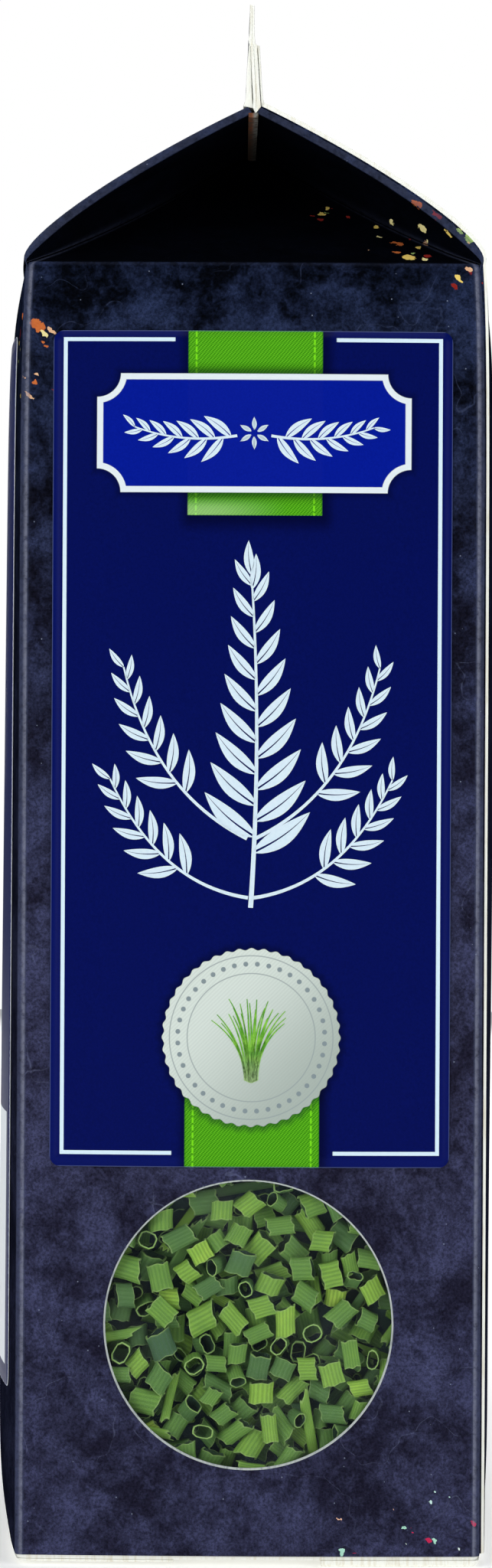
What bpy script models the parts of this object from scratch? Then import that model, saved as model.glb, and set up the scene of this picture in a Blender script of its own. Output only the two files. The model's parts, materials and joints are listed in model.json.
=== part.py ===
"""A one-litre gable-top carton, sealed and full of chopped dried chives that show through a round window.

The carton is one folded blank of board, with a clear film behind its window, a paper label on its front and
another on its left side. Units are metres, +Z is up, and the origin is the middle of the base. The front, with
the window, faces -Y, and the fin along the top of the gable runs from front to back.
"""

import math
import random

import bmesh
import bpy
import numpy as np
from mathutils import Matrix, Vector

# The carton, from its creases
CARTON_SIDE = 0.0710
SHOULDER_Z = 0.1987
RIDGE_Z = 0.2228
FIN_STEP_Z = 0.2323
FIN_TOP_Z = 0.2384
BOARD = 0.0005
CREASE_RADIUS = 0.0010
SHOULDER_PINCH = 0.0007

# How far the filling pushes the walls out, and the curve that it gives the roof
SIDE_BELLY = 0.0047
FRONT_BELLY = 0.0010
BELLY_LOSS = 0.27
RIGHT_BELLY_LOSS = 0.27
BASE_BELLY = 0.42
SHOULDER_BELLY = 0.45
ROOF_BELLY = 0.0066
ROOF_BELLY_START = 0.39
ROOF_BELLY_END = 0.95
GUSSET_SAG = 0.0012

# The roof's rim is two layers of board with a gap between them, and the fin is four layers, then two
RIM_THICKNESS = 0.0015
FIN_BASE_THICKNESS = 0.0022
FIN_THICKNESS = 0.0017
FIN_LIP_THICKNESS = 0.0008
FIN_LIP_SHIFT = -0.00035

# The bottom: inner flaps all over, and two outer flaps that leave a channel between them
FLAP_STACK = 0.0017
OUTER_FLAP = 0.0010
FLAP_CHANNEL = 0.023
FLAP_INSET = 0.0002
FLAP_ROUNDING = 0.0014

# The window and its film
WINDOW_Z = 0.0370
WINDOW_RADIUS = 0.0220
FILM_WIDTH = 0.054
FILM_HEIGHT = 0.052
FILM_THICKNESS = 0.0002
GLUE_GAP = 0.00015

# The paper labels
LABEL_WIDTH = 0.0609
LABEL_BOTTOM_Z = 0.0610
LABEL_TOP_Z = 0.1883
LABEL_CORNER = 0.0019
PAPER = 0.00015
SIDE_LABEL_WIDTH = 0.058
SIDE_LABEL_BOTTOM_Z = 0.0260
SIDE_LABEL_TOP_Z = 0.1883

# The chives: a mass that fills the carton, and single pieces that stand out of it behind the window
FILL_GAP = 0.0007
FILL_TOP_Z = 0.176
FILL_MOUND = 0.006
POCKET_RADIUS = 0.0252
POCKET_FLOOR = 0.0016
PIECE_SEED = 21
PIECE_COUNT = 132
PIECE_TRIES = 60
PIECE_FIELD_RADIUS = 0.0238
PIECE_WALL = 0.0006
PIECE_SIDES = 8
PIECE_FILM_GAP = 0.0005
DEPTH_CELL = 0.0003

WALL_STEPS = 8
GABLE_SECTIONS = 8
CORNER_STEPS = 2
BODY_LEVELS = (0, 0.02, 0.05, 0.10, 0.19, 0.33, 0.50, 0.67, 0.80, 0.88, 0.94, 0.975, 1)


def clear_scene():
    for old in list(bpy.data.objects):
        bpy.data.objects.remove(old)


def new_collection(name):
    collection = bpy.data.collections.new(name)
    bpy.context.scene.collection.children.link(collection)
    return collection


def new_material(name, colour, roughness, alpha=1.0):
    material = bpy.data.materials.new(name)
    material.use_nodes = True
    shader = material.node_tree.nodes["Principled BSDF"]
    shader.inputs["Base Color"].default_value = (*colour, 1)
    shader.inputs["Roughness"].default_value = roughness
    shader.inputs["Metallic"].default_value = 0
    shader.inputs["Alpha"].default_value = alpha
    return material


def new_object(name, mesh, collection, material=None):
    made = bpy.data.objects.new(name, mesh)
    collection.objects.link(made)
    if material:
        mesh.materials.append(material)
    return made


def as_helper(helper):
    """A cutter or an operand of a union: it isn't a piece itself."""
    helper.hide_render = True
    helper.display_type = "WIRE"
    return helper


def mesh_from(name, bm):
    bmesh.ops.recalc_face_normals(bm, faces=bm.faces)
    mesh = bpy.data.meshes.new(name)
    bm.to_mesh(mesh)
    bm.free()
    return mesh


def add_boolean(target, operation, operand, solver="EXACT"):
    """A Boolean modifier whose operand is an object or a whole collection."""
    modifier = target.modifiers.new(operation.lower(), "BOOLEAN")
    modifier.operation = operation
    modifier.solver = solver
    if isinstance(operand, bpy.types.Collection):
        modifier.operand_type = "COLLECTION"
        modifier.collection = operand
    else:
        modifier.object = operand
    return modifier


def add_solidify(target, thickness, offset):
    modifier = target.modifiers.new("thickness", "SOLIDIFY")
    modifier.thickness = thickness
    modifier.offset = offset
    modifier.use_even_offset = True
    return modifier


def share_of_height(z):
    return min(max(z / SHOULDER_Z, 0), 1)


def fullness(z):
    """How far the walls are pushed out at height z: most low down, and less at the base and the shoulder."""
    t = share_of_height(z)
    from_base = 1 - (1 - BASE_BELLY) * math.exp(-t / 0.03)
    from_shoulder = 1 - (1 - SHOULDER_BELLY) * math.exp(-(1 - t) / 0.023)
    return (1 - BELLY_LOSS * t) * from_base * from_shoulder


def right_share(z):
    """The right wall stands out less than the left one low down, where the photograph shows nothing of it."""
    t = min(max((z - 0.02) / 0.13, 0), 1)
    return 1 - RIGHT_BELLY_LOSS * (1 - t * t * (3 - 2 * t))


def half_side(z):
    """From the carton's middle to an upright crease: the gable pulls the shoulders in a little."""
    t = share_of_height(z)
    return CARTON_SIDE / 2 - SHOULDER_PINCH * math.exp(-(1 - t) / 0.05)


def belly(along, z, most):
    """How far a wall stands out at a distance along from its middle, at height z."""
    reach = min(abs(along) / (half_side(z) - CREASE_RADIUS), 1)
    return most * fullness(z) * (1 - reach * reach)


def front_wall_y(x, z, inward=0.0):
    """The Y of the front wall's outer face, or of a surface that lies inward of it."""
    return -half_side(z) - belly(x, z, FRONT_BELLY) + inward


def ring(z, half_x, half_y, radius, push_x, push_y):
    """The points of one level of the carton: four curved walls and four rounded creases, counterclockwise."""
    points = []
    flat_x, flat_y = half_x - radius, half_y - radius
    walls = (
        ((0, -1), (1, 0), half_y, flat_x, push_y),
        ((1, 0), (0, 1), half_x, flat_y, push_x * right_share(z)),
        ((0, 1), (-1, 0), half_y, flat_x, push_y),
        ((-1, 0), (0, -1), half_x, flat_y, push_x),
    )
    for outward, along, distance, flat, push in walls:
        for i in range(WALL_STEPS + 1):
            share = 2 * i / WALL_STEPS - 1
            out = distance + push * (1 - share * share)
            points.append(
                (outward[0] * out + along[0] * flat * share, outward[1] * out + along[1] * flat * share, z)
            )
        centre = (
            outward[0] * (distance - radius) + along[0] * flat,
            outward[1] * (distance - radius) + along[1] * flat,
        )
        start = math.atan2(outward[1], outward[0])
        for i in range(1, CORNER_STEPS + 1):
            turn = start + math.pi / 2 * i / (CORNER_STEPS + 1)
            points.append((centre[0] + radius * math.cos(turn), centre[1] + radius * math.sin(turn), z))
    return points


def body_ring(z, inset=0.0):
    half = half_side(z) - inset
    return ring(z, half, half, CREASE_RADIUS, SIDE_BELLY * fullness(z), FRONT_BELLY * fullness(z))


def loft(rings, close_bottom):
    """A skin through rings of equally many points, closed at the top."""
    bm = bmesh.new()
    rows = [[bm.verts.new(point) for point in points] for points in rings]
    for low, high in zip(rows, rows[1:]):
        for i in range(len(low)):
            j = (i + 1) % len(low)
            bm.faces.new((low[i], low[j], high[j], high[i]))
    bm.faces.new(rows[-1])
    if close_bottom:
        bm.faces.new(list(reversed(rows[0])))
    return bm


def roof_point(s, inward=0.0):
    """The roof's section on the +X side: s is 0 at the shoulder and 1 at the fin. inward goes under the board."""
    start = Vector((half_side(SHOULDER_Z), SHOULDER_Z))
    end = Vector((FIN_BASE_THICKNESS / 2, RIDGE_Z))
    chord = end - start
    outward = Vector((chord.y, -chord.x)).normalized()
    rise = ROOF_BELLY * s**ROOF_BELLY_START * (1 - s) ** ROOF_BELLY_END
    return start + chord * s + outward * (rise - inward)


def roof_bow(s, y):
    """How far the middle of a roof panel stands out sideways: it is bowed like the wall's top where they meet."""
    reach = y / half_side(SHOULDER_Z)
    return SIDE_BELLY * fullness(SHOULDER_Z) * (1 - max(s, 0)) ** 1.5 * (1 - reach * reach)


def body_skin():
    """The carton's walls and, above the shoulder, the four-sided pyramid that its gussets fold into."""
    rings = [body_ring(FLAP_STACK + (SHOULDER_Z - FLAP_STACK) * share) for share in BODY_LEVELS]
    slope_levels = (0.03, 0.10, 0.22, 0.40, 0.60, 0.78, 0.92)
    for s in slope_levels:
        point = roof_point(s)
        share = (point.y - SHOULDER_Z) / (RIDGE_Z - SHOULDER_Z)
        half_y = half_side(SHOULDER_Z) * (1 - share)
        corner_x = point.x - BOARD + roof_bow(s, half_y)
        bow_x = roof_bow(s, 0) - roof_bow(s, half_y)
        bow_y = FRONT_BELLY * fullness(SHOULDER_Z) * (1 - share) ** 4 - GUSSET_SAG * math.sin(math.pi * share)
        rings.append(ring(point.y, corner_x, half_y, 0.0003, bow_x, bow_y))
    return mesh_from("carton", loft(rings, close_bottom=False))


def gable_section(y):
    """The section of both roof panels and the fin at y, one closed line: up the right, over the fin, down the left."""
    steps = (0, 0.012, 0.03, 0.06, 0.10, 0.16, 0.25, 0.36, 0.50, 0.65, 0.82, 1)
    shoulder_end = SHOULDER_Z - 2 * BOARD
    skin = 0.00005

    def bowed(s, inward):
        point = roof_point(s, inward)
        return point.x + roof_bow(s, y), point.y

    outer = [(half_side(SHOULDER_Z) - skin + roof_bow(0, y), shoulder_end)]
    outer += [bowed(s, skin) for s in steps]
    inner = [(half_side(SHOULDER_Z) - RIM_THICKNESS + roof_bow(0, y), shoulder_end)]
    inner += [bowed(s, RIM_THICKNESS) for s in steps[4:-1]]
    lip, fin = FIN_LIP_THICKNESS / 2, FIN_THICKNESS / 2
    right_fin = [(fin, FIN_STEP_Z), (FIN_LIP_SHIFT + lip, FIN_STEP_Z), (FIN_LIP_SHIFT + lip, FIN_TOP_Z)]
    left_fin = [(FIN_LIP_SHIFT - lip, FIN_TOP_Z), (FIN_LIP_SHIFT - lip, FIN_STEP_Z), (-fin, FIN_STEP_Z)]
    under_fin = [(0, RIDGE_Z - 2 * RIM_THICKNESS)]
    left_outer = [(-x, z) for x, z in reversed(outer)]
    left_inner = [(-x, z) for x, z in inner]
    outline = outer + right_fin + left_fin + left_outer + left_inner + under_fin + list(reversed(inner))
    return [(x, y, z) for x, z in outline]


def gable_solid(collection):
    """The roof and the fin, lofted from front to back through sections that are bowed most in the middle."""
    half = half_side(SHOULDER_Z) - 0.00005
    sections = [gable_section(half * (2 * i / GABLE_SECTIONS - 1)) for i in range(GABLE_SECTIONS + 1)]
    return new_object("gable", mesh_from("gable", loft(sections, close_bottom=True)), collection)


def bottom_flaps(collection, helpers):
    """The folded layers that the carton stands on, and the cutter for the channel between the outer two."""
    half = half_side(0) - FLAP_INSET
    push_x, push_y = SIDE_BELLY * fullness(FLAP_STACK), FRONT_BELLY * fullness(FLAP_STACK)
    rings = []
    for z, turned_in in ((0, 1), (0.0003, 0.5), (0.0008, 0.15), (FLAP_STACK, 0), (FLAP_STACK + 2 * BOARD, 0)):
        rings.append(ring(z, half - FLAP_ROUNDING * turned_in, half, CREASE_RADIUS, push_x, push_y))
    flaps = new_object("bottom_flaps", mesh_from("bottom_flaps", loft(rings, close_bottom=True)), collection)
    bm = bmesh.new()
    size = Matrix.Diagonal((FLAP_CHANNEL, 2 * CARTON_SIDE, 2 * OUTER_FLAP, 1))
    bmesh.ops.create_cube(bm, size=1, matrix=size)
    channel = as_helper(new_object("channel_cutter", mesh_from("channel_cutter", bm), helpers))
    return flaps, channel


def build_carton(parts, helpers, material):
    joined = new_collection("carton_joins")
    gable = gable_solid(joined)
    flaps, channel = bottom_flaps(joined, helpers)
    for helper in (gable, flaps):
        as_helper(helper)
    bm = bmesh.new()
    across = Matrix.Translation((0, -CARTON_SIDE / 2, WINDOW_Z)) @ Matrix.Rotation(math.pi / 2, 4, "X")
    bmesh.ops.create_cone(
        bm, cap_ends=True, segments=56, radius1=WINDOW_RADIUS, radius2=WINDOW_RADIUS, depth=0.02, matrix=across
    )
    window = as_helper(new_object("window_cutter", mesh_from("window_cutter", bm), helpers))
    carton = new_object("carton", body_skin(), parts, material)
    add_solidify(carton, BOARD, -1)
    add_boolean(carton, "UNION", joined)
    add_boolean(carton, "DIFFERENCE", window)
    add_boolean(carton, "DIFFERENCE", channel)
    return carton


def sheet_on_wall(name, surface, width, low_z, high_z, corner, thickness, parts, material):
    """A thin sheet with rounded corners that follows a wall. surface(along, z) is its inner face's point."""
    columns, rows = 10, max(6, round((high_z - low_z) / 0.011))
    bm = bmesh.new()
    bmesh.ops.create_grid(bm, x_segments=columns, y_segments=rows, size=0.5)
    height = high_z - low_z
    for vert in bm.verts:
        vert.co = (vert.co.x * width, vert.co.y * height, 0)
    corners = [v for v in bm.verts if abs(v.co.x) > width / 2 - 1e-6 and abs(v.co.y) > height / 2 - 1e-6]
    bmesh.ops.bevel(bm, geom=corners, offset=corner, segments=4, affect="VERTICES", profile=0.5)
    for vert in bm.verts:
        vert.co = surface(vert.co.x, vert.co.y + (low_z + high_z) / 2)
    mesh = mesh_from(name, bm)
    made = new_object(name, mesh, parts, material)
    middle = Vector(surface(0, (low_z + high_z) / 2))
    outward = Vector((middle.x, middle.y, 0))
    if sum((p.normal for p in mesh.polygons), Vector()).dot(outward) < 0:
        mesh.flip_normals()
    add_solidify(made, thickness, 1)
    return made


def build_labels(parts, material):
    def on_front(x, z):
        return (x, front_wall_y(x, z, -GLUE_GAP), z)

    def on_left(y, z):
        return (-half_side(z) - belly(y, z, SIDE_BELLY) - GLUE_GAP, y, z)

    sheet_on_wall(
        "front_label", on_front, LABEL_WIDTH, LABEL_BOTTOM_Z, LABEL_TOP_Z, LABEL_CORNER, PAPER, parts, material
    )
    sheet_on_wall(
        "side_label", on_left, SIDE_LABEL_WIDTH, SIDE_LABEL_BOTTOM_Z, SIDE_LABEL_TOP_Z, LABEL_CORNER, PAPER,
        parts, material,
    )


def build_film(parts, material):
    inward = BOARD + GLUE_GAP + FILM_THICKNESS

    def behind_front(x, z):
        return (x, front_wall_y(x, z, inward), z)

    sheet_on_wall(
        "window_film", behind_front, FILM_WIDTH, WINDOW_Z - FILM_HEIGHT / 2, WINDOW_Z + FILM_HEIGHT / 2, 0.004,
        FILM_THICKNESS, parts, material,
    )


def draw_piece(draw):
    """One chopped piece of chive, as a dictionary of its kind, size and turn. Most lie flat against the film."""
    chance = draw.random()
    if chance < 0.16:
        kind = "upright"
        half_wide = draw.uniform(0.0012, 0.0018)
        half_deep = half_wide * draw.uniform(0.62, 0.95)
        length = draw.uniform(0.0022, 0.0034)
    elif chance < 0.94:
        kind = "lying"
        half_wide = draw.uniform(0.0012, 0.0021)
        half_deep = half_wide * draw.uniform(0.45, 0.85)
        length = draw.uniform(0.0026, 0.0048)
    else:
        kind = "strip"
        half_wide = draw.uniform(0.0007, 0.0009)
        half_deep = half_wide
        length = draw.uniform(0.007, 0.012)
    return {
        "kind": kind,
        "half_wide": half_wide,
        "half_deep": half_deep,
        "length": length,
        "turn": draw.uniform(0, math.pi),
        "tilt": draw.gauss(0, 0.42 if kind == "upright" else 0.13),
    }


def footprint(piece, across, up, cells_x, cells_y):
    """Where a piece covers the depth map, how deep its near side is and how deep its far side is."""
    cos_t, sin_t = math.cos(piece["turn"]), math.sin(piece["turn"])
    along = (cells_x - across) * cos_t + (cells_y - up) * sin_t
    aside = (cells_y - up) * cos_t - (cells_x - across) * sin_t
    if piece["kind"] == "upright":
        covered = (along / piece["half_deep"]) ** 2 + (aside / piece["half_wide"]) ** 2 <= 1
        lean = piece["half_deep"] * abs(math.sin(piece["tilt"]))
        near = np.full_like(along, piece["length"] / 2 * math.cos(piece["tilt"]) + lean)
        return covered, near, near
    covered = (np.abs(along) <= piece["length"] / 2) & (np.abs(aside) <= piece["half_wide"])
    bulge = piece["half_deep"] * np.sqrt(np.clip(1 - (aside / piece["half_wide"]) ** 2, 0, 1))
    lean = along * math.tan(piece["tilt"])
    return covered, bulge - lean, bulge + lean


def pack_pieces(count):
    """Lays pieces one after another against the film, each at the shallowest of a few places drawn for it."""
    draw = random.Random(PIECE_SEED)
    reach = POCKET_RADIUS
    ticks = np.arange(-reach, reach + DEPTH_CELL, DEPTH_CELL)
    cells_x, cells_y = np.meshgrid(ticks, ticks, indexing="ij")
    taken = np.zeros_like(cells_x)
    pieces = []
    for _ in range(count):
        piece = draw_piece(draw)
        best = None
        for _ in range(PIECE_TRIES):
            distance = PIECE_FIELD_RADIUS * math.sqrt(draw.random())
            bearing = draw.uniform(0, 2 * math.pi)
            across, up = distance * math.cos(bearing), distance * math.sin(bearing)
            piece["turn"] = draw.uniform(0, math.pi)
            covered, near, far = footprint(piece, across, up, cells_x, cells_y)
            depth = float((taken + near)[covered].max())
            if best is None or depth < best[0]:
                best = (depth, across, up, piece["turn"], covered, far)
        depth, piece["across"], piece["up"], piece["turn"], covered, far = best
        piece["depth"] = depth
        taken[covered] = np.maximum(taken, depth + far)[covered]
        pieces.append(piece)
    return pieces


def piece_mesh(piece):
    """A hollow length of chive along its own Z, flattened to an ellipse. A strip is a solid ribbon."""
    bm = bmesh.new()
    hollow = piece["kind"] != "strip"
    bmesh.ops.create_cone(
        bm, cap_ends=not hollow, segments=PIECE_SIDES if hollow else 4, radius1=1, radius2=1, depth=piece["length"]
    )
    for vert in bm.verts:
        vert.co.x *= piece["half_deep"]
        vert.co.y *= piece["half_wide"]
    bmesh.ops.recalc_face_normals(bm, faces=bm.faces)
    if hollow:
        bmesh.ops.solidify(bm, geom=bm.faces, thickness=PIECE_WALL)
    return mesh_from("chive_piece", bm)


def piece_place(piece):
    """The matrix that lays a piece behind the film: its length in the plane of the film, or across it."""
    lean = Matrix.Rotation(piece["tilt"], 4, "Y")
    lay_down = Matrix.Identity(4) if piece["kind"] == "upright" else Matrix.Rotation(math.pi / 2, 4, "Y")
    turn = Matrix.Rotation(piece["turn"], 4, "Z")
    face_window = Matrix.Rotation(math.pi / 2, 4, "X")
    x, z = piece["across"], WINDOW_Z + piece["up"]
    film = BOARD + GLUE_GAP + FILM_THICKNESS
    y = front_wall_y(x, z, film + PIECE_FILM_GAP + piece["depth"])
    return Matrix.Translation((x, y, z)) @ face_window @ turn @ lean @ lay_down


def fill_mass(parts, helpers, material):
    """The mass of chives behind what shows: it fills the carton, with a shallow pocket at the window."""
    wall = BOARD + FILL_GAP
    bottom = FLAP_STACK + 2 * BOARD + FILL_GAP
    levels = (0, 0.006, 0.018, 0.04, 0.08, 0.12, 0.15, FILL_TOP_Z - bottom)
    rings = [body_ring(bottom + level, wall) for level in levels]
    top = half_side(FILL_TOP_Z) - wall
    for share in (0.85, 0.6, 0.3):
        z = FILL_TOP_Z + FILL_MOUND * (1 - share * share)
        rings.append(ring(z, top * share, top * share, 0.004 * share, 0, 0))
    mass = new_object("chopped_chives", mesh_from("chopped_chives", loft(rings, close_bottom=True)), parts, material)
    floor_y = front_wall_y(0, WINDOW_Z, BOARD + GLUE_GAP + FILM_THICKNESS + PIECE_FILM_GAP + POCKET_FLOOR)
    bm = bmesh.new()
    across = Matrix.Translation((0, floor_y - 0.01, WINDOW_Z)) @ Matrix.Rotation(math.pi / 2, 4, "X")
    bmesh.ops.create_cone(
        bm, cap_ends=True, segments=40, radius1=POCKET_RADIUS, radius2=POCKET_RADIUS, depth=0.02, matrix=across
    )
    pocket = as_helper(new_object("pocket_cutter", mesh_from("pocket_cutter", bm), helpers))
    add_boolean(mass, "DIFFERENCE", pocket)
    return mass


def build_chives(parts, helpers, material):
    mass = fill_mass(parts, helpers, material)
    loose = new_collection("chive_pieces")
    for number, piece in enumerate(pack_pieces(PIECE_COUNT)):
        if piece["depth"] - piece["half_deep"] > POCKET_FLOOR:
            continue
        made = new_object(f"piece_{number:03d}", piece_mesh(piece), loose)
        made.matrix_world = piece_place(piece)
    add_boolean(mass, "UNION", loose, solver="MANIFOLD")
    bpy.context.view_layer.update()
    fused = bpy.data.meshes.new_from_object(mass.evaluated_get(bpy.context.evaluated_depsgraph_get()))
    mass.modifiers.clear()
    mass.data = fused
    for made in list(loose.objects):
        bpy.data.objects.remove(made)
    return mass


def main():
    clear_scene()
    parts = new_collection("chive_carton")
    helpers = new_collection("cutters")
    board = new_material("printed_board", (0.030, 0.034, 0.062), 0.42)
    paper = new_material("label_paper", (0.002, 0.004, 0.090), 0.38)
    clear = new_material("clear_film", (0.95, 0.97, 0.96), 0.06, alpha=0.18)
    herb = new_material("dried_chive", (0.110, 0.210, 0.045), 0.62)
    build_carton(parts, helpers, board)
    build_labels(parts, paper)
    build_film(parts, clear)
    build_chives(parts, helpers, herb)


main()
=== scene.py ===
# %% [markdown]
# # A gable-top carton of chopped chives
#
# The object is a sealed one-litre carton of folded board, printed to look like dark slate. It has a round
# window low on its front, a navy paper label above that, and it is full of chopped dried chives.
#
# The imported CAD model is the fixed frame. Its solids are coarse, so here each of them is replaced by finer pieces
# that follow the same rules of shape. That keeps every new piece where the CAD has it, with no fitting. Two helpers
# are used all the way: one puts an object into the scene, the other turns a bmesh into a mesh.

import json
import math
import random

import bmesh
import bpy
import numpy as np
from mathutils import Matrix, Vector

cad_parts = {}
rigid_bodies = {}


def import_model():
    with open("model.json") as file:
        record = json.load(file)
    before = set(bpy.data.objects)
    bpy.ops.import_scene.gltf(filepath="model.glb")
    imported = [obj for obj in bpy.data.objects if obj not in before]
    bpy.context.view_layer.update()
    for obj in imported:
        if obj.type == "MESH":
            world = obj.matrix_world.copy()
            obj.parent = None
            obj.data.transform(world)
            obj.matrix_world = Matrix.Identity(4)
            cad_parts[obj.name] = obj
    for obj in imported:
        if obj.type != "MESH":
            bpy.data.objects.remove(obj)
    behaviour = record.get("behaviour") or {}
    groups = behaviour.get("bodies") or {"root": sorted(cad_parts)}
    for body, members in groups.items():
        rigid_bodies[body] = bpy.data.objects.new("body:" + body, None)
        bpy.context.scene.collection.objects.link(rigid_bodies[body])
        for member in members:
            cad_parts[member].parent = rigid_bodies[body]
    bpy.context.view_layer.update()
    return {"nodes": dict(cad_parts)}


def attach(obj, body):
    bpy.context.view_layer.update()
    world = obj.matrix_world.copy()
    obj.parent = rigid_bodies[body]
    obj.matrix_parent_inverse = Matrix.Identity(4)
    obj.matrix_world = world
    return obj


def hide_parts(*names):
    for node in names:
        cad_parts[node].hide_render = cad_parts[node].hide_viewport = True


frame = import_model()
scene = bpy.context.scene


def add_object(name, data):
    made = bpy.data.objects.new(name, data)
    scene.collection.objects.link(made)
    return made


def mesh_from(name, bm):
    mesh = bpy.data.meshes.new(name)
    bm.to_mesh(mesh)
    bm.free()
    return mesh


print("CAD nodes:", ", ".join(sorted(frame["nodes"])))

# %% [markdown]
# ## The camera
#
# The photograph was taken from straight ahead, half way up the carton, and so near that the left wall's bulge
# shows past the front. A camera half a metre from the front, 4 mm left of the middle, sees the same slice. The
# small sideways shift puts the carton back in the middle of the picture, and the roll is the carton's slight lean.

# %% Camera
PHOTO_HEIGHT_MM = 239.0
SENSOR_MM = 36
CAMERA_DISTANCE = 0.500
CAMERA_X, CAMERA_Z, CAMERA_ROLL_DEGREES = -0.0037, 0.1193, 0.3
FRONT_Y = -0.0355

lens_data = bpy.data.cameras.new("camera")
lens_data.sensor_width = SENSOR_MM
lens_data.lens = SENSOR_MM * CAMERA_DISTANCE * 1000 / PHOTO_HEIGHT_MM
lens_data.shift_x = 0.0122
camera = add_object("camera", lens_data)
camera.matrix_world = (
    Matrix.Translation((CAMERA_X, FRONT_Y - CAMERA_DISTANCE, CAMERA_Z))
    @ Matrix.Rotation(math.pi / 2, 4, "X")
    @ Matrix.Rotation(math.radians(CAMERA_ROLL_DEGREES), 4, "Z")
)
scene.camera = camera
scene.view_settings.view_transform = "Standard"
print("lens", round(lens_data.lens, 2), "mm")

# %% [markdown]
# ## Light
#
# A pack shot has a white background and large soft lights. The print is dark, so whatever the board mirrors would
# show as a grey veil. The lights stand at the sides, above and behind, where only the rounded creases mirror them,
# and the world is white for the camera but dim for the board.

# %% Lights and world
def softbox(name, place, aim, wide, high, power):
    """A rectangular area light at place that points at aim."""
    data = bpy.data.lights.new(name, "AREA")
    data.shape = "RECTANGLE"
    data.size, data.size_y = wide, high
    data.energy = power
    facing = (Vector(aim) - Vector(place)).to_track_quat("-Z", "Y").to_matrix().to_4x4()
    add_object(name, data).matrix_world = Matrix.Translation(place) @ facing


softbox("light_left", (-0.75, -0.75, 0.30), (0, 0, 0.11), 0.5, 0.9, 6.0)
softbox("light_right", (0.80, -0.60, 0.25), (0, 0, 0.11), 0.5, 0.9, 4.6)
softbox("light_top", (0.0, -0.15, 0.95), (0, 0, 0.2), 0.7, 0.6, 3.0)
softbox("light_back", (0.15, 0.95, 0.45), (0, 0, 0.12), 0.8, 0.7, 5.0)

world = bpy.data.worlds.new("studio")
scene.world = world
world.use_nodes = True
world_tree = world.node_tree
room = world_tree.nodes["Background"]
room.inputs["Color"].default_value = (0.80, 0.90, 1, 1)
room.inputs["Strength"].default_value = 0.12
backdrop = world_tree.nodes.new("ShaderNodeBackground")
backdrop.inputs["Color"].default_value = (1, 1, 1, 1)
rays = world_tree.nodes.new("ShaderNodeLightPath")
either = world_tree.nodes.new("ShaderNodeMixShader")
world_tree.links.new(rays.outputs["Is Camera Ray"], either.inputs[0])
world_tree.links.new(room.outputs[0], either.inputs[1])
world_tree.links.new(backdrop.outputs[0], either.inputs[2])
world_tree.links.new(either.outputs[0], world_tree.nodes["World Output"].inputs["Surface"])

# %% [markdown]
# ## Maths on sockets
#
# A finish is a small program of nodes. Written out node by node it can't be read, so one class wraps a socket and
# lets Python's own signs add the Math nodes, and one method adds any other node: its settings first, then its
# sockets. The same two serve materials and Geometry Nodes.

# %% The wrapper for sockets
class Wire:
    """One output socket, which can be used in a Python expression."""

    def __init__(self, recipe, socket):
        self.recipe, self.socket = recipe, socket

    def math(self, operation, *others):
        return self.recipe.node("ShaderNodeMath", {"operation": operation}, dict(enumerate((self, *others))))

    def __add__(self, other):
        return self.math("ADD", other)

    def __sub__(self, other):
        return self.math("SUBTRACT", other)

    def __rsub__(self, other):
        return self.recipe.node("ShaderNodeMath", {"operation": "SUBTRACT"}, {0: other, 1: self})

    def __mul__(self, other):
        return self.math("MULTIPLY", other)

    def __truediv__(self, other):
        return self.math("DIVIDE", other)

    def __abs__(self):
        return self.math("ABSOLUTE")

    __radd__ = __add__
    __rmul__ = __mul__


class Recipe:
    """A node tree in the making."""

    def __init__(self, tree):
        self.tree = tree

    def plug(self, socket, value):
        if isinstance(value, Wire):
            self.tree.links.new(value.socket, socket)
        else:
            socket.default_value = value

    def node(self, kind, settings=None, sockets=None, output=0):
        """Adds any node. A ramp's stops are given as a list of (place, colour)."""
        made = self.tree.nodes.new(kind)
        for key, value in (settings or {}).items():
            if key == "stops":
                stops = made.color_ramp.elements
                stops[0].position, stops[1].position = value[0][0], value[-1][0]
                stops[0].color, stops[1].color = value[0][1], value[-1][1]
                for place, colour in value[1:-1]:
                    stops.new(place).color = colour
            elif key == "interpolation" and kind == "ShaderNodeValToRGB":
                made.color_ramp.interpolation = value
            else:
                setattr(made, key, value)
        for key, value in (sockets or {}).items():
            self.plug(made.inputs[key], value)
        return Wire(self, made.outputs[output])


def ink(red, green, blue):
    """A printed colour, as a picture file gives it from 0 to 255, in the linear values that Blender mixes."""
    linear = [((v / 255 + 0.055) / 1.055) ** 2.4 if v > 10 else v / 255 / 12.92 for v in (red, green, blue)]
    return (*linear, 1)


print("slate ink:", [round(v, 4) for v in ink(56, 60, 84)])

# %% [markdown]
# Each material starts from the same few things: a place on the object in millimetres, noise at a given grain,
# random cells, a soft step between two values, and a mix of two colours. They are gathered in one class. All is
# laid out in Object coordinates, because each piece's object sits at the origin, so a print runs on from one piece
# to the next as it does on a real blank.

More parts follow.
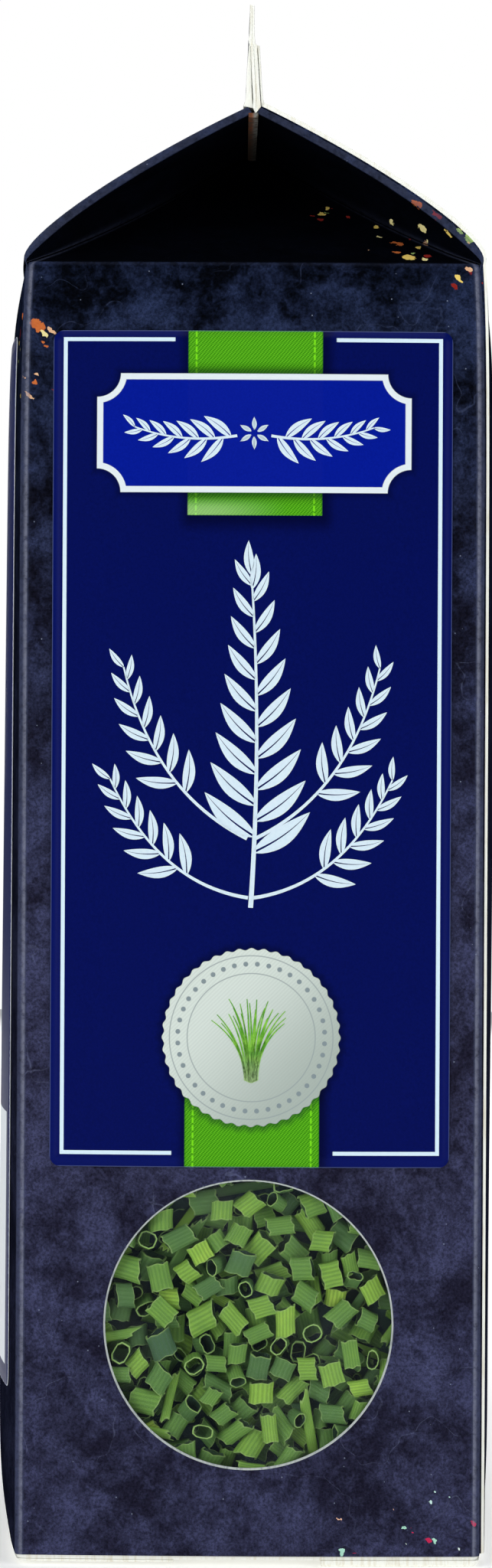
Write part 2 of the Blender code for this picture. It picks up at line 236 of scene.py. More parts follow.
# %% The start of every finish
class Finish(Recipe):
    """A material on the Principled shader, whose place is given in millimetres."""

    def __init__(self, name, roughness=0.5, specular=0.5):
        self.material = bpy.data.materials.new(name)
        self.material.use_nodes = True
        super().__init__(self.material.node_tree)
        self.shader = self.tree.nodes["Principled BSDF"]
        self.put("Roughness", roughness)
        self.put("Specular IOR Level", specular)
        place = self.node("ShaderNodeTexCoord", output="Object")
        self.place = self.node("ShaderNodeVectorMath", {"operation": "SCALE"}, {0: place, "Scale": 1000.0})
        self.x, self.y, self.z = self.split(self.place)

    def put(self, socket, value):
        self.plug(self.shader.inputs[socket], value)

    def split(self, vector):
        made = self.node("ShaderNodeSeparateXYZ", sockets={0: vector}).socket.node
        return [Wire(self, made.outputs[i]) for i in range(3)]

    def join(self, x, y, z):
        return self.node("ShaderNodeCombineXYZ", sockets={0: x, 1: y, 2: z})

    def noise(self, grain, detail=3.0, rough=0.55, place=None, warp=0.0, output="Fac"):
        """Noise whose lumps are about grain millimetres across, from 0 to 1."""
        sockets = {
            "Vector": place or self.place, "Scale": 1 / grain, "Detail": detail, "Roughness": rough, "Distortion": warp,
        }
        return self.node("ShaderNodeTexNoise", sockets=sockets, output=output)

    def cells(self, size, place=None):
        """Cells about size millimetres across: how far their middle is, and a random colour for each."""
        sockets = {"Vector": place or self.place, "Scale": 1 / size}
        made = self.node("ShaderNodeTexVoronoi", sockets=sockets).socket.node
        return Wire(self, made.outputs["Distance"]), Wire(self, made.outputs["Color"])

    def one_of(self, colours, chance):
        """One of the colours, picked by a random value."""
        stops = [(i / len(colours), colour) for i, colour in enumerate(colours)]
        return self.node("ShaderNodeValToRGB", {"interpolation": "CONSTANT", "stops": stops}, {0: chance})

    def step(self, value, low, high):
        """0 below low and 1 above high, with a soft change between; the other way round if low is above high."""
        return self.node("ShaderNodeMapRange", {"interpolation_type": "SMOOTHSTEP"}, {0: value, 1: low, 2: high})

    def box(self, across, up, shape):
        """How far a place is outside a box, whose shape is its middle and its half sizes. It is below 0 inside."""
        middle_across, middle_up, half_across, half_up = shape
        return (abs(across - middle_across) - half_across).math("MAXIMUM", abs(up - middle_up) - half_up)

    def mix(self, share, first, second, how="MIX"):
        settings = {"data_type": "RGBA", "blend_type": how}
        return self.node("ShaderNodeMix", settings, {0: share, 6: first, 7: second}, output=2)

    def bump(self, height, depth_mm, strength=1.0):
        """Height runs from 0 to 1 and stands for depth_mm."""
        sockets = {"Height": height, "Distance": depth_mm / 1000, "Strength": strength}
        self.put("Normal", self.node("ShaderNodeBump", sockets=sockets))

    def attribute(self, name):
        return self.node("ShaderNodeAttribute", {"attribute_name": name}, output="Fac")


print("finishes read Object coordinates in mm")

# %% [markdown]
# ## The floor
#
# The floor is plain and pale, as in a pack shot. A faint grain keeps it from being one flat colour.

# %% Floor
FLOOR_RADIUS = 1.2

floor_finish = Finish("studio_floor", roughness=0.7, specular=0.2)
floor_finish.put("Base Color", floor_finish.mix(floor_finish.noise(90), ink(250, 250, 250), ink(255, 255, 255)))
floor_finish.put("Emission Color", (1, 1, 1, 1))
floor_finish.put("Emission Strength", 0.25)
bm = bmesh.new()
bmesh.ops.create_circle(bm, cap_ends=True, segments=96, radius=FLOOR_RADIUS)
floor = add_object("studio_floor", mesh_from("studio_floor", bm))
floor.data.materials.append(floor_finish.material)
print("floor radius", FLOOR_RADIUS, "m")

# %% [markdown]
# ## The slate print
#
# The board is printed with a picture of slate, with paler bluish clouds whose edges are fibrous, a fine grain, thin
# scratches, and a few tiny chips that catch the light. Its colour runs from purple-navy at the bottom to near black at
# the top.
# An image would fix the print to one layout. Here, noises of three sizes mix a dark and a light ink, a finer one
# lays the grain over them, and another draws the scratches, along the lines where it has its middle value. A step
# on the height slides the inks from the bottom's to the top's.

# %% Slate
SLATE_LOW_Z, SLATE_HIGH_Z = 70.0, 203.0


def slate_colour(finish):
    rise = finish.step(finish.z, SLATE_LOW_Z, SLATE_HIGH_Z)
    dark = finish.mix(rise, ink(34, 33, 49), ink(6, 8, 14))
    light = finish.mix(rise, ink(70, 73, 104), ink(44, 55, 86))
    fibre = finish.noise(1.7, 5, 0.7, warp=0.6)
    clouds = finish.noise(12, 5, 0.66, warp=0.35) * 0.54 + finish.noise(4.2, 4, 0.66) * 0.24 + fibre * 0.26
    grained = finish.mix(finish.step(clouds, 0.42, 0.66), dark, light)
    grain = finish.step(finish.noise(0.42, 3, 0.75), 0.30, 0.70)
    grained = finish.mix(0.60, grained, finish.mix(grain, ink(52, 50, 56), ink(206, 206, 216)), "OVERLAY")
    arc = abs(finish.noise(10, 2, 0.4, warp=0.3) - 0.5)
    scratched = finish.step(finish.noise(26, 2), 0.50, 0.60) * finish.step(fibre, 0.35, 0.6)
    scratch_ink = finish.mix(rise, ink(112, 118, 150), ink(66, 76, 108))
    grained = finish.mix(finish.step(arc, 0.0050, 0.0015) * scratched * 0.30, grained, scratch_ink)
    chip, _ = finish.cells(2.6)
    return finish.mix(finish.step(chip, 0.050, 0.028) * 0.55, grained, ink(150, 160, 185))


# %% [markdown]
# Crumbs of dried spices are printed over the slate: a loose scatter towards the top right corner, a few at the top
# left, and crystals of salt at the bottom right, a few of them red. Voronoi cells scatter them. A cell's own random
# colour says whether it holds a crumb, how big it is, and which colour, and soft balls say where they thin out.

# %% Crumbs
CRUMB_FIELDS = (
    ((33, -33, 205), 17.0, 0.9),
    ((26, -27, 206), 15.0, 1.0),
    ((12, -19, 210), 7.0, 0.7),
    ((36, 0, 200), 26.0, 0.8),
    ((-35, -34, 184), 13.0, 0.9),
    ((-38, -6, 178), 22.0, 0.6),
    ((30, -36, 6), 12.0, 1.3),
    ((15, -36, 3), 9.0, 1.0),
    ((34, 20, 8), 20.0, 0.7),
)
SPICES = [ink(*rgb) for rgb in (
    (236, 226, 168), (206, 116, 62), (238, 214, 120), (150, 44, 38), (226, 190, 150), (168, 196, 120),
)]
SALTS = [ink(*rgb) for rgb in ((226, 240, 236), (186, 226, 210), (206, 48, 92), (206, 232, 228), (232, 194, 166))]
SALT_FROM_Z, SALT_ONLY_Z, SALT_SHRINK = 60, 40, 0.42
FULL_FIELD, SMALLEST_CRUMB = 0.62, 0.35


def near_fields(finish):
    """How thickly crumbs lie at a place: most in the middle of a field, and 0 outside all of them."""
    total = None
    for centre, reach, amount in CRUMB_FIELDS:
        away = finish.node("ShaderNodeVectorMath", {"operation": "DISTANCE"}, {0: finish.place, 1: centre}, "Value")
        here = finish.step(away, reach, reach * 0.2) * amount
        total = here if total is None else total.math("MAXIMUM", here)
    return total


def crumbed(finish, under, cell, stretch, size, near):
    """Lays one scatter of crumbs over a colour. stretch flattens the cells, so the crumbs lie as slivers."""
    jitter = {0: finish.noise(1.1, 2, 0.6, output="Color"), 1: (1.5, 1.5, 1.5), 2: finish.place}
    moved = finish.node("ShaderNodeVectorMath", {"operation": "MULTIPLY_ADD"}, jitter)
    laid = finish.node("ShaderNodeMapping", {"vector_type": "TEXTURE"}, {0: moved, 2: (0.2, 0.7, 0.5), 3: stretch})
    away, own = finish.cells(cell, laid)
    chance, bulk, kind = finish.split(own)
    low = finish.step(finish.z, SALT_FROM_Z, SALT_ONLY_Z)
    held = finish.step(near, bulk * FULL_FIELD, FULL_FIELD)
    reach = held * (size * (SMALLEST_CRUMB + chance)) * (1 - low * SALT_SHRINK)
    colour = finish.mix(low, finish.one_of(SPICES, kind), finish.one_of(SALTS, kind))
    colour = finish.mix(0.5, colour, finish.mix(finish.noise(0.5), ink(90, 80, 80), ink(200, 200, 200)), "OVERLAY")
    return finish.mix(finish.step(away, reach, reach * 0.88), under, colour)


# %% [markdown]
# The finish of the printed board adds what use has done to it, and some light and shade. Where the blank is folded,
# the ink is stretched and rubbed and the rounded fold catches the light, so a bluish band of wear and painted
# highlight runs along each crease, and on the sharpest of them a pale line. The pieces carry a vertex attribute called
# crease, which is 1 on such a line, and the material reads it. Inside the gable, where two layers face each other,
# a painted shade makes the print nearly black, and the side walls, which the light only grazes, get a painted shade.

# %% Printed board
FLANK_START_X, FLANK_X, FLANK_SHADE = 35.25, 35.75, 0.78


def printed_board(name, tucked_shade=0.0, wear_and_highlight=1.0):
    finish = Finish(name, specular=0.0)
    near = near_fields(finish)
    colour = slate_colour(finish)
    # painted shade: where little light gets in, inside the gable and under the roof, the print is darkened to near
    # black
    if tucked_shade:
        colour = finish.mix(tucked_shade, colour, ink(3, 4, 8))
    colour = crumbed(finish, colour, 4.6, (1.0, 1.0, 0.7), 0.24, near)
    colour = crumbed(finish, colour, 2.7, (1.5, 1.0, 0.6), 0.22, near)
    # painted shade on the side walls, which the light only grazes
    flank_shade_mask = finish.step(abs(finish.x), FLANK_START_X, FLANK_X)
    colour = finish.mix(flank_shade_mask * FLANK_SHADE, colour, ink(7, 10, 20))
    # wear and painted highlight along the creases: partly rubbed ink, partly the light that the rounded folds catch
    crease = finish.attribute("crease")
    rub_and_highlight = crease.math("MINIMUM", 0.5) * 2.0 * finish.step(finish.noise(0.9, 4, 0.7), 0.10, 0.66)
    wear_and_highlight_ink = finish.mix(finish.step(crease, 0.55, 0.95), ink(68, 74, 98), ink(128, 132, 152))
    colour = finish.mix(rub_and_highlight * (0.66 * wear_and_highlight), colour, wear_and_highlight_ink)
    finish.put("Base Color", colour)
    finish.put("Roughness", 0.40 + finish.noise(2.0) * 0.14)
    finish.bump(finish.noise(0.7, 4, 0.6) * 0.6 + finish.noise(9) * 0.4, 0.02, 0.35)
    return finish.material


def raw_board(name, light=ink(251, 252, 243), dark=ink(236, 232, 214)):
    """Unprinted board: cream, with the faint streaks of its fibres and its layers."""
    finish = Finish(name, roughness=0.75, specular=0.25)
    streaks = finish.noise(0.5, 3, 0.6, place=finish.join(finish.x, finish.y * 0.4, finish.z * 0.12))
    finish.put("Base Color", finish.mix(finish.step(streaks, 0.25, 0.55), dark, light))
    finish.bump(finish.noise(0.25, 2), 0.03, 0.4)
    return finish.material


slate = printed_board("slate_print")
# the slate with painted shade, for the tucked triangles, the roof's underside and the folded wings
slate_painted_shade = printed_board("slate_print_tucked", tucked_shade=0.97, wear_and_highlight=0.6)
cream = raw_board("raw_board")
# the punched edge: raw board greyed with painted shade
cut_edge_painted_shade = raw_board("punched_edge", ink(194, 200, 199), ink(148, 156, 162))
print("board finishes:", slate.name, slate_painted_shade.name, cream.name, cut_edge_painted_shade.name)

# %% [markdown]
# ## The shape of the carton
#
# A full carton isn't a box: the chives push its side walls out by some 4 mm, less at the base and at the shoulder,
# where the folds hold them. These are the same rules that the CAD follows. Each piece below asks them where the
# wall is, so they all fit. The sizes are in metres.

# %% The rules of the walls and the roof
CARTON_SIDE, SHOULDER_Z, RIDGE_Z = 0.0710, 0.1987, 0.2228
BOARD, CREASE_RADIUS, SHOULDER_PINCH, FLAP_STACK = 0.0005, 0.0010, 0.0007, 0.0017
SIDE_BELLY, FRONT_BELLY, BELLY_LOSS, BASE_BELLY, SHOULDER_BELLY = 0.0047, 0.0010, 0.27, 0.42, 0.45
RIGHT_BELLY_LOSS, RIGHT_LOSS_Z, RIGHT_LOSS_RISE = 0.27, 0.02, 0.13
ROOF_BELLY, ROOF_BELLY_START, ROOF_BELLY_END, FIN_BASE_THICKNESS = 0.0066, 0.39, 0.95, 0.0022
WINDOW_Z, WINDOW_RADIUS = 0.0370, 0.0220
GLUE_GAP, LABEL_GAP, PAPER, FILM_THICKNESS = 0.00015, 0.00012, 0.00015, 0.0002


def share_of_height(z):
    return min(max(z / SHOULDER_Z, 0), 1)


def fullness(z):
    t = share_of_height(z)
    from_base = 1 - (1 - BASE_BELLY) * math.exp(-t / 0.03)
    from_shoulder = 1 - (1 - SHOULDER_BELLY) * math.exp(-(1 - t) / 0.023)
    return (1 - BELLY_LOSS * t) * from_base * from_shoulder


def right_share(z):
    """How much of the left wall's bulge the right wall has: less low down, and all of it higher up."""
    t = min(max((z - RIGHT_LOSS_Z) / RIGHT_LOSS_RISE, 0), 1)
    return 1 - RIGHT_BELLY_LOSS * (1 - t * t * (3 - 2 * t))


def half_side(z):
    return CARTON_SIDE / 2 - SHOULDER_PINCH * math.exp(-(1 - share_of_height(z)) / 0.05)


def belly(along, z, most):
    reach = min(abs(along) / (half_side(z) - CREASE_RADIUS), 1)
    return most * fullness(z) * (1 - reach * reach)


def front_wall_y(x, z, inward=0.0):
    return -half_side(z) - belly(x, z, FRONT_BELLY) + inward


def roof_point(s, inward=0.0):
    """The roof's section on the +X side, from s = 0 at the shoulder to s = 1 at the fin."""
    start = Vector((half_side(SHOULDER_Z), SHOULDER_Z))
    end = Vector((FIN_BASE_THICKNESS / 2, RIDGE_Z))
    chord = end - start
    outward = Vector((chord.y, -chord.x)).normalized()
    rise = ROOF_BELLY * s**ROOF_BELLY_START * (1 - s) ** ROOF_BELLY_END
    return start + chord * s + outward * (rise - inward)


def roof_bow(s, y):
    reach = min(abs(y) / half_side(SHOULDER_Z), 1)
    return SIDE_BELLY * fullness(SHOULDER_Z) * (1 - s) ** 1.5 * (1 - reach * reach)


print("wall bulge half way up:", round(belly(0, 0.1, SIDE_BELLY) * 1000, 2), "mm")

# %% [markdown]
# Every piece ends the same way: its mesh gets its materials, it rides on the carton's only body, and the CAD parts
# that it stands for are hidden. One helper does that. Another makes a skin through rings of points, which is how most
# of the board is built.

# %% Helpers for pieces
def new_piece(name, mesh, finishes, stands_for=()):
    made = add_object(name, mesh)
    for finish in finishes:
        mesh.materials.append(finish)
    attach(made, "root")
    if stands_for:
        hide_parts(*stands_for)
    return made


def loft(rings, creases=None, close_start=True):
    """A closed skin through rings of equally many points, with how much wear and painted highlight each point gets."""
    bm = bmesh.new()
    wear_and_highlight = bm.verts.layers.float.new("crease")
    rows = []
    for i, points in enumerate(rings):
        row = [bm.verts.new(point) for point in points]
        if creases:
            for vert, value in zip(row, creases[i]):
                vert[wear_and_highlight] = value
        rows.append(row)
    for low, high in zip(rows, rows[1:]):
        for i in range(len(low)):
            j = (i + 1) % len(low)
            bm.faces.new((low[i], low[j], high[j], high[i]))
    bm.faces.new(rows[-1])
    if close_start:
        bm.faces.new(list(reversed(rows[0])))
    return bm


def as_mesh(name, bm, sharp=40.0):
    """Turns a bmesh into a mesh with its faces outwards, smooth but for folds sharper than an angle."""
    bmesh.ops.recalc_face_normals(bm, faces=bm.faces)
    mesh = mesh_from(name, bm)
    mesh.shade_smooth()
    mesh.set_sharp_from_angle(angle=math.radians(sharp))
    return mesh


def join_meshes(name, meshes):
    """One mesh of several, with their materials' numbers and attributes kept."""
    bm = bmesh.new()
    for mesh in meshes:
        bm.from_mesh(mesh)
    return mesh_from(name, bm)


# %% [markdown]
# ## Walls and tucked gable ends
#
# On a real carton the four walls and the two triangles that are tucked in under the roof are one sheet, so here
# they are one skin too: rings of points climb from the base to the shoulder, then close in towards the ridge as a
# four-sided pyramid whose front and back are the triangles. Its corner lines are the creases that show in the gable.
# The rings are closest where the shape changes fastest. Solidify gives the board its thickness.

# %% Body skin
WALL_SHARES = [math.sin(math.pi / 2 * i / 20) for i in range(-20, 21)]
WALL_LEVELS = 68
GUSSET_SHARES = (0.004, 0.012, 0.024, 0.045, 0.08, 0.13, 0.2, 0.28, 0.37, 0.46, 0.55, 0.64, 0.73, 0.82, 0.90, 0.96)
CORNER_TURNS = 6
FOLD_WIDTH, SIDE_FOLD, FOLD_FADE = 0.00025, 0.5, 2.2
SHOULDER_CREASE, SHOULDER_CREASE_REACH = 0.12, 0.010
GUSSET_TOP_Z = RIDGE_Z - 0.0009
GUSSET_SAG, GUSSET_HOLLOW, WING_ROOM, WING_ROOM_RISE = 0.0012, 0.09, 0.0006, 12


def carton_ring(z, half_x, half_y, radius, push_x, push_y):
    """One level of the skin, counterclockwise, and how near each point is to a crease."""
    points, creases = [], []
    flat_x, flat_y = half_x - radius, half_y - radius
    walls = (
        ((0, -1), (1, 0), half_y, flat_x, push_y),
        ((1, 0), (0, 1), half_x, flat_y, push_x * right_share(z)),
        ((0, 1), (-1, 0), half_y, flat_x, push_y),
        ((-1, 0), (0, -1), half_x, flat_y, push_x),
    )
    for outward, along, distance, flat, push in walls:
        for share in WALL_SHARES:
            out = distance + push * (1 - share * share)
            points.append((*(outward[k] * out + along[k] * flat * share for k in (0, 1)), z))
            # how much wear and painted highlight the point gets: full on the front and back creases, half on the side
            # ones
            fold = 1.0 if outward[0] == 0 else SIDE_FOLD
            creases.append(fold * math.exp(-(((1 - abs(share)) * flat / FOLD_WIDTH) ** 2)))
        centre = [outward[k] * (distance - radius) + along[k] * flat for k in (0, 1)]
        start = math.atan2(outward[1], outward[0])
        for i in range(1, CORNER_TURNS):
            turn = start + math.pi / 2 * i / CORNER_TURNS
            points.append((centre[0] + radius * math.cos(turn), centre[1] + radius * math.sin(turn), z))
            to_side = i / CORNER_TURNS if outward[0] == 0 else 1 - i / CORNER_TURNS
            creases.append(1 - (1 - SIDE_FOLD) * min(1, to_side * FOLD_FADE))
    return points, creases


def gusset_corner(h):
    """The crease between a tucked triangle and its folded wing, from the shoulder's corner to under the ridge."""
    half = half_side(SHOULDER_Z)
    x = half * (1 - h) * (1 - GUSSET_HOLLOW * math.sin(math.pi * h)) + 0.0002 - WING_ROOM * min(1, h * WING_ROOM_RISE)
    return x, half * (1 - h), SHOULDER_Z + (GUSSET_TOP_Z - SHOULDER_Z) * h


def body_skin():
    rings, creases = [], []
    for i in range(WALL_LEVELS + 1):
        z = FLAP_STACK + (SHOULDER_Z - 0.0004 - FLAP_STACK) * (0.5 - 0.5 * math.cos(math.pi * i / WALL_LEVELS))
        half = half_side(z)
        points, wear_and_highlight = carton_ring(z, half, half, CREASE_RADIUS, SIDE_BELLY * fullness(z), FRONT_BELLY * fullness(z))
        rings.append(points)
        creases.append(wear_and_highlight)
    for h in GUSSET_SHARES:
        x, y, z = gusset_corner(h)
        push_x = min(SIDE_BELLY, 0.003) * fullness(SHOULDER_Z) * (1 - h) ** 4 - 0.0004
        push_y = FRONT_BELLY * fullness(SHOULDER_Z) * (1 - h) ** 6 - GUSSET_SAG * math.sin(math.pi * h)
        points, wear_and_highlight = carton_ring(z, x, y, 0.0010 * (1 - h) ** 3 + 0.00018, push_x, push_y)
        rings.append(points)
        # a faint line of wear and painted highlight along the shoulder crease, and fading upwards along the gable's
        # creases
        edge = SHOULDER_CREASE * math.exp(-((h / SHOULDER_CREASE_REACH) ** 2))
        creases.append([max(0.8 * value * (1 - h) ** 2, edge) for value in wear_and_highlight])
    return loft(rings, creases, close_start=False)


# %% [markdown]
# The window is punched through the front wall. The punch bruises the board, so its edge shows as a thin pale ring
# from straight ahead. A cutter that follows the wall's curve, a little wider at the print than behind it, leaves
# such a slope all round, and its faces take a pale board material that is greyed with painted shade.

# %% Walls with the window
PUNCH_SLOPE = ((-0.003, 0.02222), (0.0, 0.02210), (0.00028, 0.02184), (0.004, 0.02184))


def window_cutter():
    """Rings at depths from the wall's face, each with its own radius."""
    rings = []
    for inward, radius in PUNCH_SLOPE:
        rings.append([])
        for i in range(120):
            turn = 2 * math.pi * i / 120
            x, z = radius * math.cos(turn), WINDOW_Z + radius * math.sin(turn)
            rings[-1].append((x, front_wall_y(x, z, inward), z))
    return as_mesh("window_cutter", loft(rings))


def baked(piece):
    """The mesh of an object with its modifiers applied."""
    bpy.context.view_layer.update()
    made = bpy.data.meshes.new_from_object(piece.evaluated_get(bpy.context.evaluated_depsgraph_get()))
    piece.modifiers.clear()
    return made


cutter = add_object("window_cutter", window_cutter())
blank = add_object("walls_blank", as_mesh("walls_blank", body_skin()))
thickness = blank.modifiers.new("board", "SOLIDIFY")
thickness.thickness, thickness.offset, thickness.use_even_offset = BOARD, -1, True
punch = blank.modifiers.new("window", "BOOLEAN")
punch.operation, punch.solver, punch.object = "DIFFERENCE", "EXACT", cutter
walls_mesh = baked(blank)
bpy.data.objects.remove(blank)
bpy.data.objects.remove(cutter)
new_piece("walls", walls_mesh, (slate, cut_edge_painted_shade, slate_painted_shade), ("carton",))
for face in walls_mesh.polygons:
    away = Vector((face.center.x, face.center.z - WINDOW_Z)).length
    if abs(away - WINDOW_RADIUS) < 0.0004 and face.center.y < 0 and abs(face.normal.y) < 0.95:
        face.material_index = 1
    else:
        # the tucked triangles above the shoulder take the slate with painted shade
        face.material_index = 2 if face.center.z > SHOULDER_Z + 0.0002 else 0
walls_mesh.shade_smooth()
walls_mesh.set_sharp_from_angle(angle=math.radians(35))
print("walls:", len(walls_mesh.polygons), "faces")

# %% [markdown]
# ## Roof
#
# Each roof panel is two layers: the panel and the wing of the gable end that is folded back under it. Where they
# turn into each other at the front and back, the fold is a rounded rim. So each side of the roof is one slab, lofted
# from the shoulder to the fin, whose section is a long flat loop with round ends.

# %% Roof panels
ROOF_SHARES = [
    0.0, 0.004, 0.012, 0.025, 0.045, 0.07, 0.10, 0.14, 0.18, 0.23, 0.29, 0.35,
    0.42, 0.49, 0.56, 0.63, 0.70, 0.77, 0.84, 0.90, 0.95, 0.98, 1.0,
]
ROOF_INSET = 0.00003
# wear and painted highlight along the rounded rims of the roof
RIM_WEAR_AND_HIGHLIGHT = (0.55, 0.45, 0.4, 0.35, 0.35, 0.35, 0.4, 0.5, 0.3)
BACK_RIM_WEAR_AND_HIGHLIGHT = 0.4


def rim_thickness(s):
    """The rim is thin at the shoulder's corner, where its layers are creased together, and thickest a fifth up."""
    return 0.0005 + 0.00095 * (1 - math.exp(-s / 0.045)) - 0.0002 * s


def roof_loop(s, drop=0.0):
    """One section of a roof slab on the +X side, with how much wear and painted highlight each point gets."""
    thick = rim_thickness(s)
    half = half_side(SHOULDER_Z) - 0.00005
    radius = thick / 2
    steps = [math.sin(math.pi / 2 * i / 14) for i in range(-14, 15)]
    points, creases = [], []

    def add(y, inward, wear_and_highlight):
        place = roof_point(s, inward)
        points.append((place.x + roof_bow(s, y) - drop * 0.25, y, place.y - drop))
        creases.append(wear_and_highlight)

    for step in steps:
        add(-(half - radius) * step, ROOF_INSET, 0)
    for i, rim_wear_and_highlight in enumerate(RIM_WEAR_AND_HIGHLIGHT, 1):
        turn = math.pi * i / (len(RIM_WEAR_AND_HIGHLIGHT) + 1)
        add(-(half - radius) - radius * math.sin(turn), ROOF_INSET + radius * (1 - math.cos(turn)), rim_wear_and_highlight)
    for step in steps:
        add((half - radius) * step, thick, 0)
    for i in range(1, len(RIM_WEAR_AND_HIGHLIGHT) + 1):
        turn = math.pi * i / (len(RIM_WEAR_AND_HIGHLIGHT) + 1)
        add((half - radius) + radius * math.sin(turn), ROOF_INSET + radius * (1 + math.cos(turn)), BACK_RIM_WEAR_AND_HIGHLIGHT)
    return points, creases


def roof_slab(side):
    loops = [roof_loop(0.0, drop=0.0012)] + [roof_loop(s) for s in ROOF_SHARES]
    rings = [[(side * x, y, z) for x, y, z in points] for points, _ in loops]
    return as_mesh("roof", loft(rings, [creases for _, creases in loops]))


roof_mesh = join_meshes("roof", [roof_slab(1), roof_slab(-1)])
for face in roof_mesh.polygons:
    face.use_smooth = True
    # the underside of each roof slab takes the slate with painted shade
    under = face.normal.z < -0.1 and abs(face.center.y) < half_side(SHOULDER_Z) - 0.0009
    face.material_index = 1 if under else 0
new_piece("roof", roof_mesh, (slate, slate_painted_shade))
print("roof:", len(roof_mesh.polygons), "faces")

# %% [markdown]
# The folded-back wings hang from the rims down to the creases of the tucked triangles. Each is a ruled surface:
# straight lines from points on the rim to points on the crease. It is given a thickness, so it is closed.

# %% Folded wings
def folded_wing(side, end):
    bm = bmesh.new()
    wear_and_highlight = bm.verts.layers.float.new("crease")
    steps, across = 36, 14
    rows = []
    for i in range(steps + 1):
        t = 0.004 + 0.986 * i / steps
        place = roof_point(t, rim_thickness(t) - 0.0002)
        half = half_side(SHOULDER_Z) - rim_thickness(t) * 0.5
        start = Vector((place.x + roof_bow(t, half), half, place.y))
        x, y, z = gusset_corner(t)
        finish = Vector((x, y + 0.0001, z))
        row = []
        for j in range(across + 1):
            q = j / across
            point = start.lerp(finish, q)
            point.z += 0.0014 * math.sin(math.pi * q) * math.sin(math.pi * t)
            vert = bm.verts.new((side * point.x, end * point.y, point.z))
            # wear and painted highlight along the crease where the wing meets the tucked triangle
            vert[wear_and_highlight] = 0.9 * math.exp(-(((1 - q) / 0.05) ** 2)) * (1 - t) ** 2
            row.append(vert)
        rows.append(row)
    for low, high in zip(rows, rows[1:]):
        for j in range(across):
            bm.faces.new((low[j], low[j + 1], high[j + 1], high[j]))
    bmesh.ops.recalc_face_normals(bm, faces=bm.faces)
    if sum(face.normal.z for face in bm.faces) > 0:
        bmesh.ops.reverse_faces(bm, faces=bm.faces)
    return mesh_from("wing", bm)


wings_mesh = join_meshes("folded_wings", [folded_wing(side, end) for side in (-1, 1) for end in (-1, 1)])
wings_mesh.shade_smooth()
# the folded wings take the slate with painted shade
wings = new_piece("folded_wings", wings_mesh, (slate_painted_shade,))
layer = wings.modifiers.new("layer", "SOLIDIFY")
layer.thickness, layer.offset = 0.0003, -1
print("folded wings:", len(wings_mesh.polygons), "faces")

# %% [markdown]
# ## Fin
#
# The fin is the layers of board that are glued together along the top: an outer panel on each side, two layers of
# tucked board between them, and above those the lip, where only two layers go on. From the front, their cut edges
# show side by side in cream, with a dark line where glue holds them apart. Each layer is its own outline in X and Z,
# drawn out from front to back with a little waviness.

# %% Fin layers
FIN_LAYERS = {
    "left": (
        (
            (-1.75, 222.9), (-1.42, 223.7), (-1.31, 225.5), (-1.27, 227.5), (-1.14, 229.5), (-1.00, 231.2),
            (-0.90, 232.4),
        ),
        ((-0.30, 222.6), (-0.40, 224.4), (-0.53, 227.5), (-0.61, 230.0), (-0.68, 232.4)),
    ),
    "middle_left": (
        ((-0.30, 222.7), (-0.22, 224.0), (-0.46, 227.5), (-0.57, 230.0), (-0.65, 232.2)),
        ((0.15, 221.75), (0.26, 224.4), (0.05, 227.5), (-0.09, 230.0), (-0.19, 232.25)),
    ),
    "middle_right": (
        ((0.17, 221.75), (0.28, 224.4), (0.07, 227.5), (-0.07, 230.0), (-0.17, 232.25)),
        ((0.95, 222.7), (0.82, 224.4), (0.62, 227.5), (0.45, 230.0), (0.30, 232.3)),
    ),
    "right": (
        ((1.02, 222.8), (0.93, 224.4), (0.72, 227.5), (0.54, 230.0), (0.38, 232.2)),
        ((1.60, 222.85), (1.30, 223.9), (1.14, 225.6), (1.03, 227.5), (0.88, 230.0), (0.73, 232.1)),
    ),
    "lip_left": (
        ((-0.86, 232.1), (-1.02, 232.9), (-0.86, 233.9), (-0.80, 236.0), (-0.78, 238.34)),
        ((-0.40, 232.0), (-0.42, 234.0), (-0.43, 238.30)),
    ),
    "lip_right": (
        ((-0.38, 231.9), (-0.41, 234.0), (-0.42, 238.24)),
        ((0.12, 231.9), (-0.03, 233.2), (-0.08, 235.0), (-0.09, 238.20)),
    ),
}


def fin_layer(name, number):
    left, right = FIN_LAYERS[name]
    outline = [*left, *reversed(right)]
    draw = random.Random(40 + number)
    phase, reach = draw.uniform(0, 6), half_side(SHOULDER_Z) - draw.uniform(0.0001, 0.0005)
    rings = []
    for i in range(29):
        y = reach * (2 * i / 28 - 1)
        sway = 0.06 * math.sin(y * 210 + phase) * (1 - (y / reach) ** 2)
        rings.append([((x + sway) / 1000, y, z / 1000) for x, z in outline])
    mesh = as_mesh(name, loft(rings), 50)
    for face in mesh.polygons:
        outward = face.normal.x < -0.5 if "left" in name else face.normal.x > 0.5
        face.material_index = 1 if outward and not name.startswith("middle") else 0
    return mesh


fin_mesh = join_meshes("fin", [fin_layer(name, number) for number, name in enumerate(FIN_LAYERS)])
fin = new_piece("fin", fin_mesh, (cream, slate))
soft_edges = fin.modifiers.new("soft_edges", "BEVEL")
soft_edges.width, soft_edges.segments, soft_edges.limit_method = 0.00006, 2, "ANGLE"
print("fin layers:", len(FIN_LAYERS))

# %% [markdown]
# Under the ridge the two folded wings don't quite meet, and from the front one looks along the gap between them: a
# narrow strip of bare board that runs back into the dark, with a rust-coloured streak of glue on its left. Its colour
# darkens further back as painted shade.

# %% Ridge gap
RIDGE_GAP_LENGTH, RIDGE_GAP_X = 0.0346, -0.00018


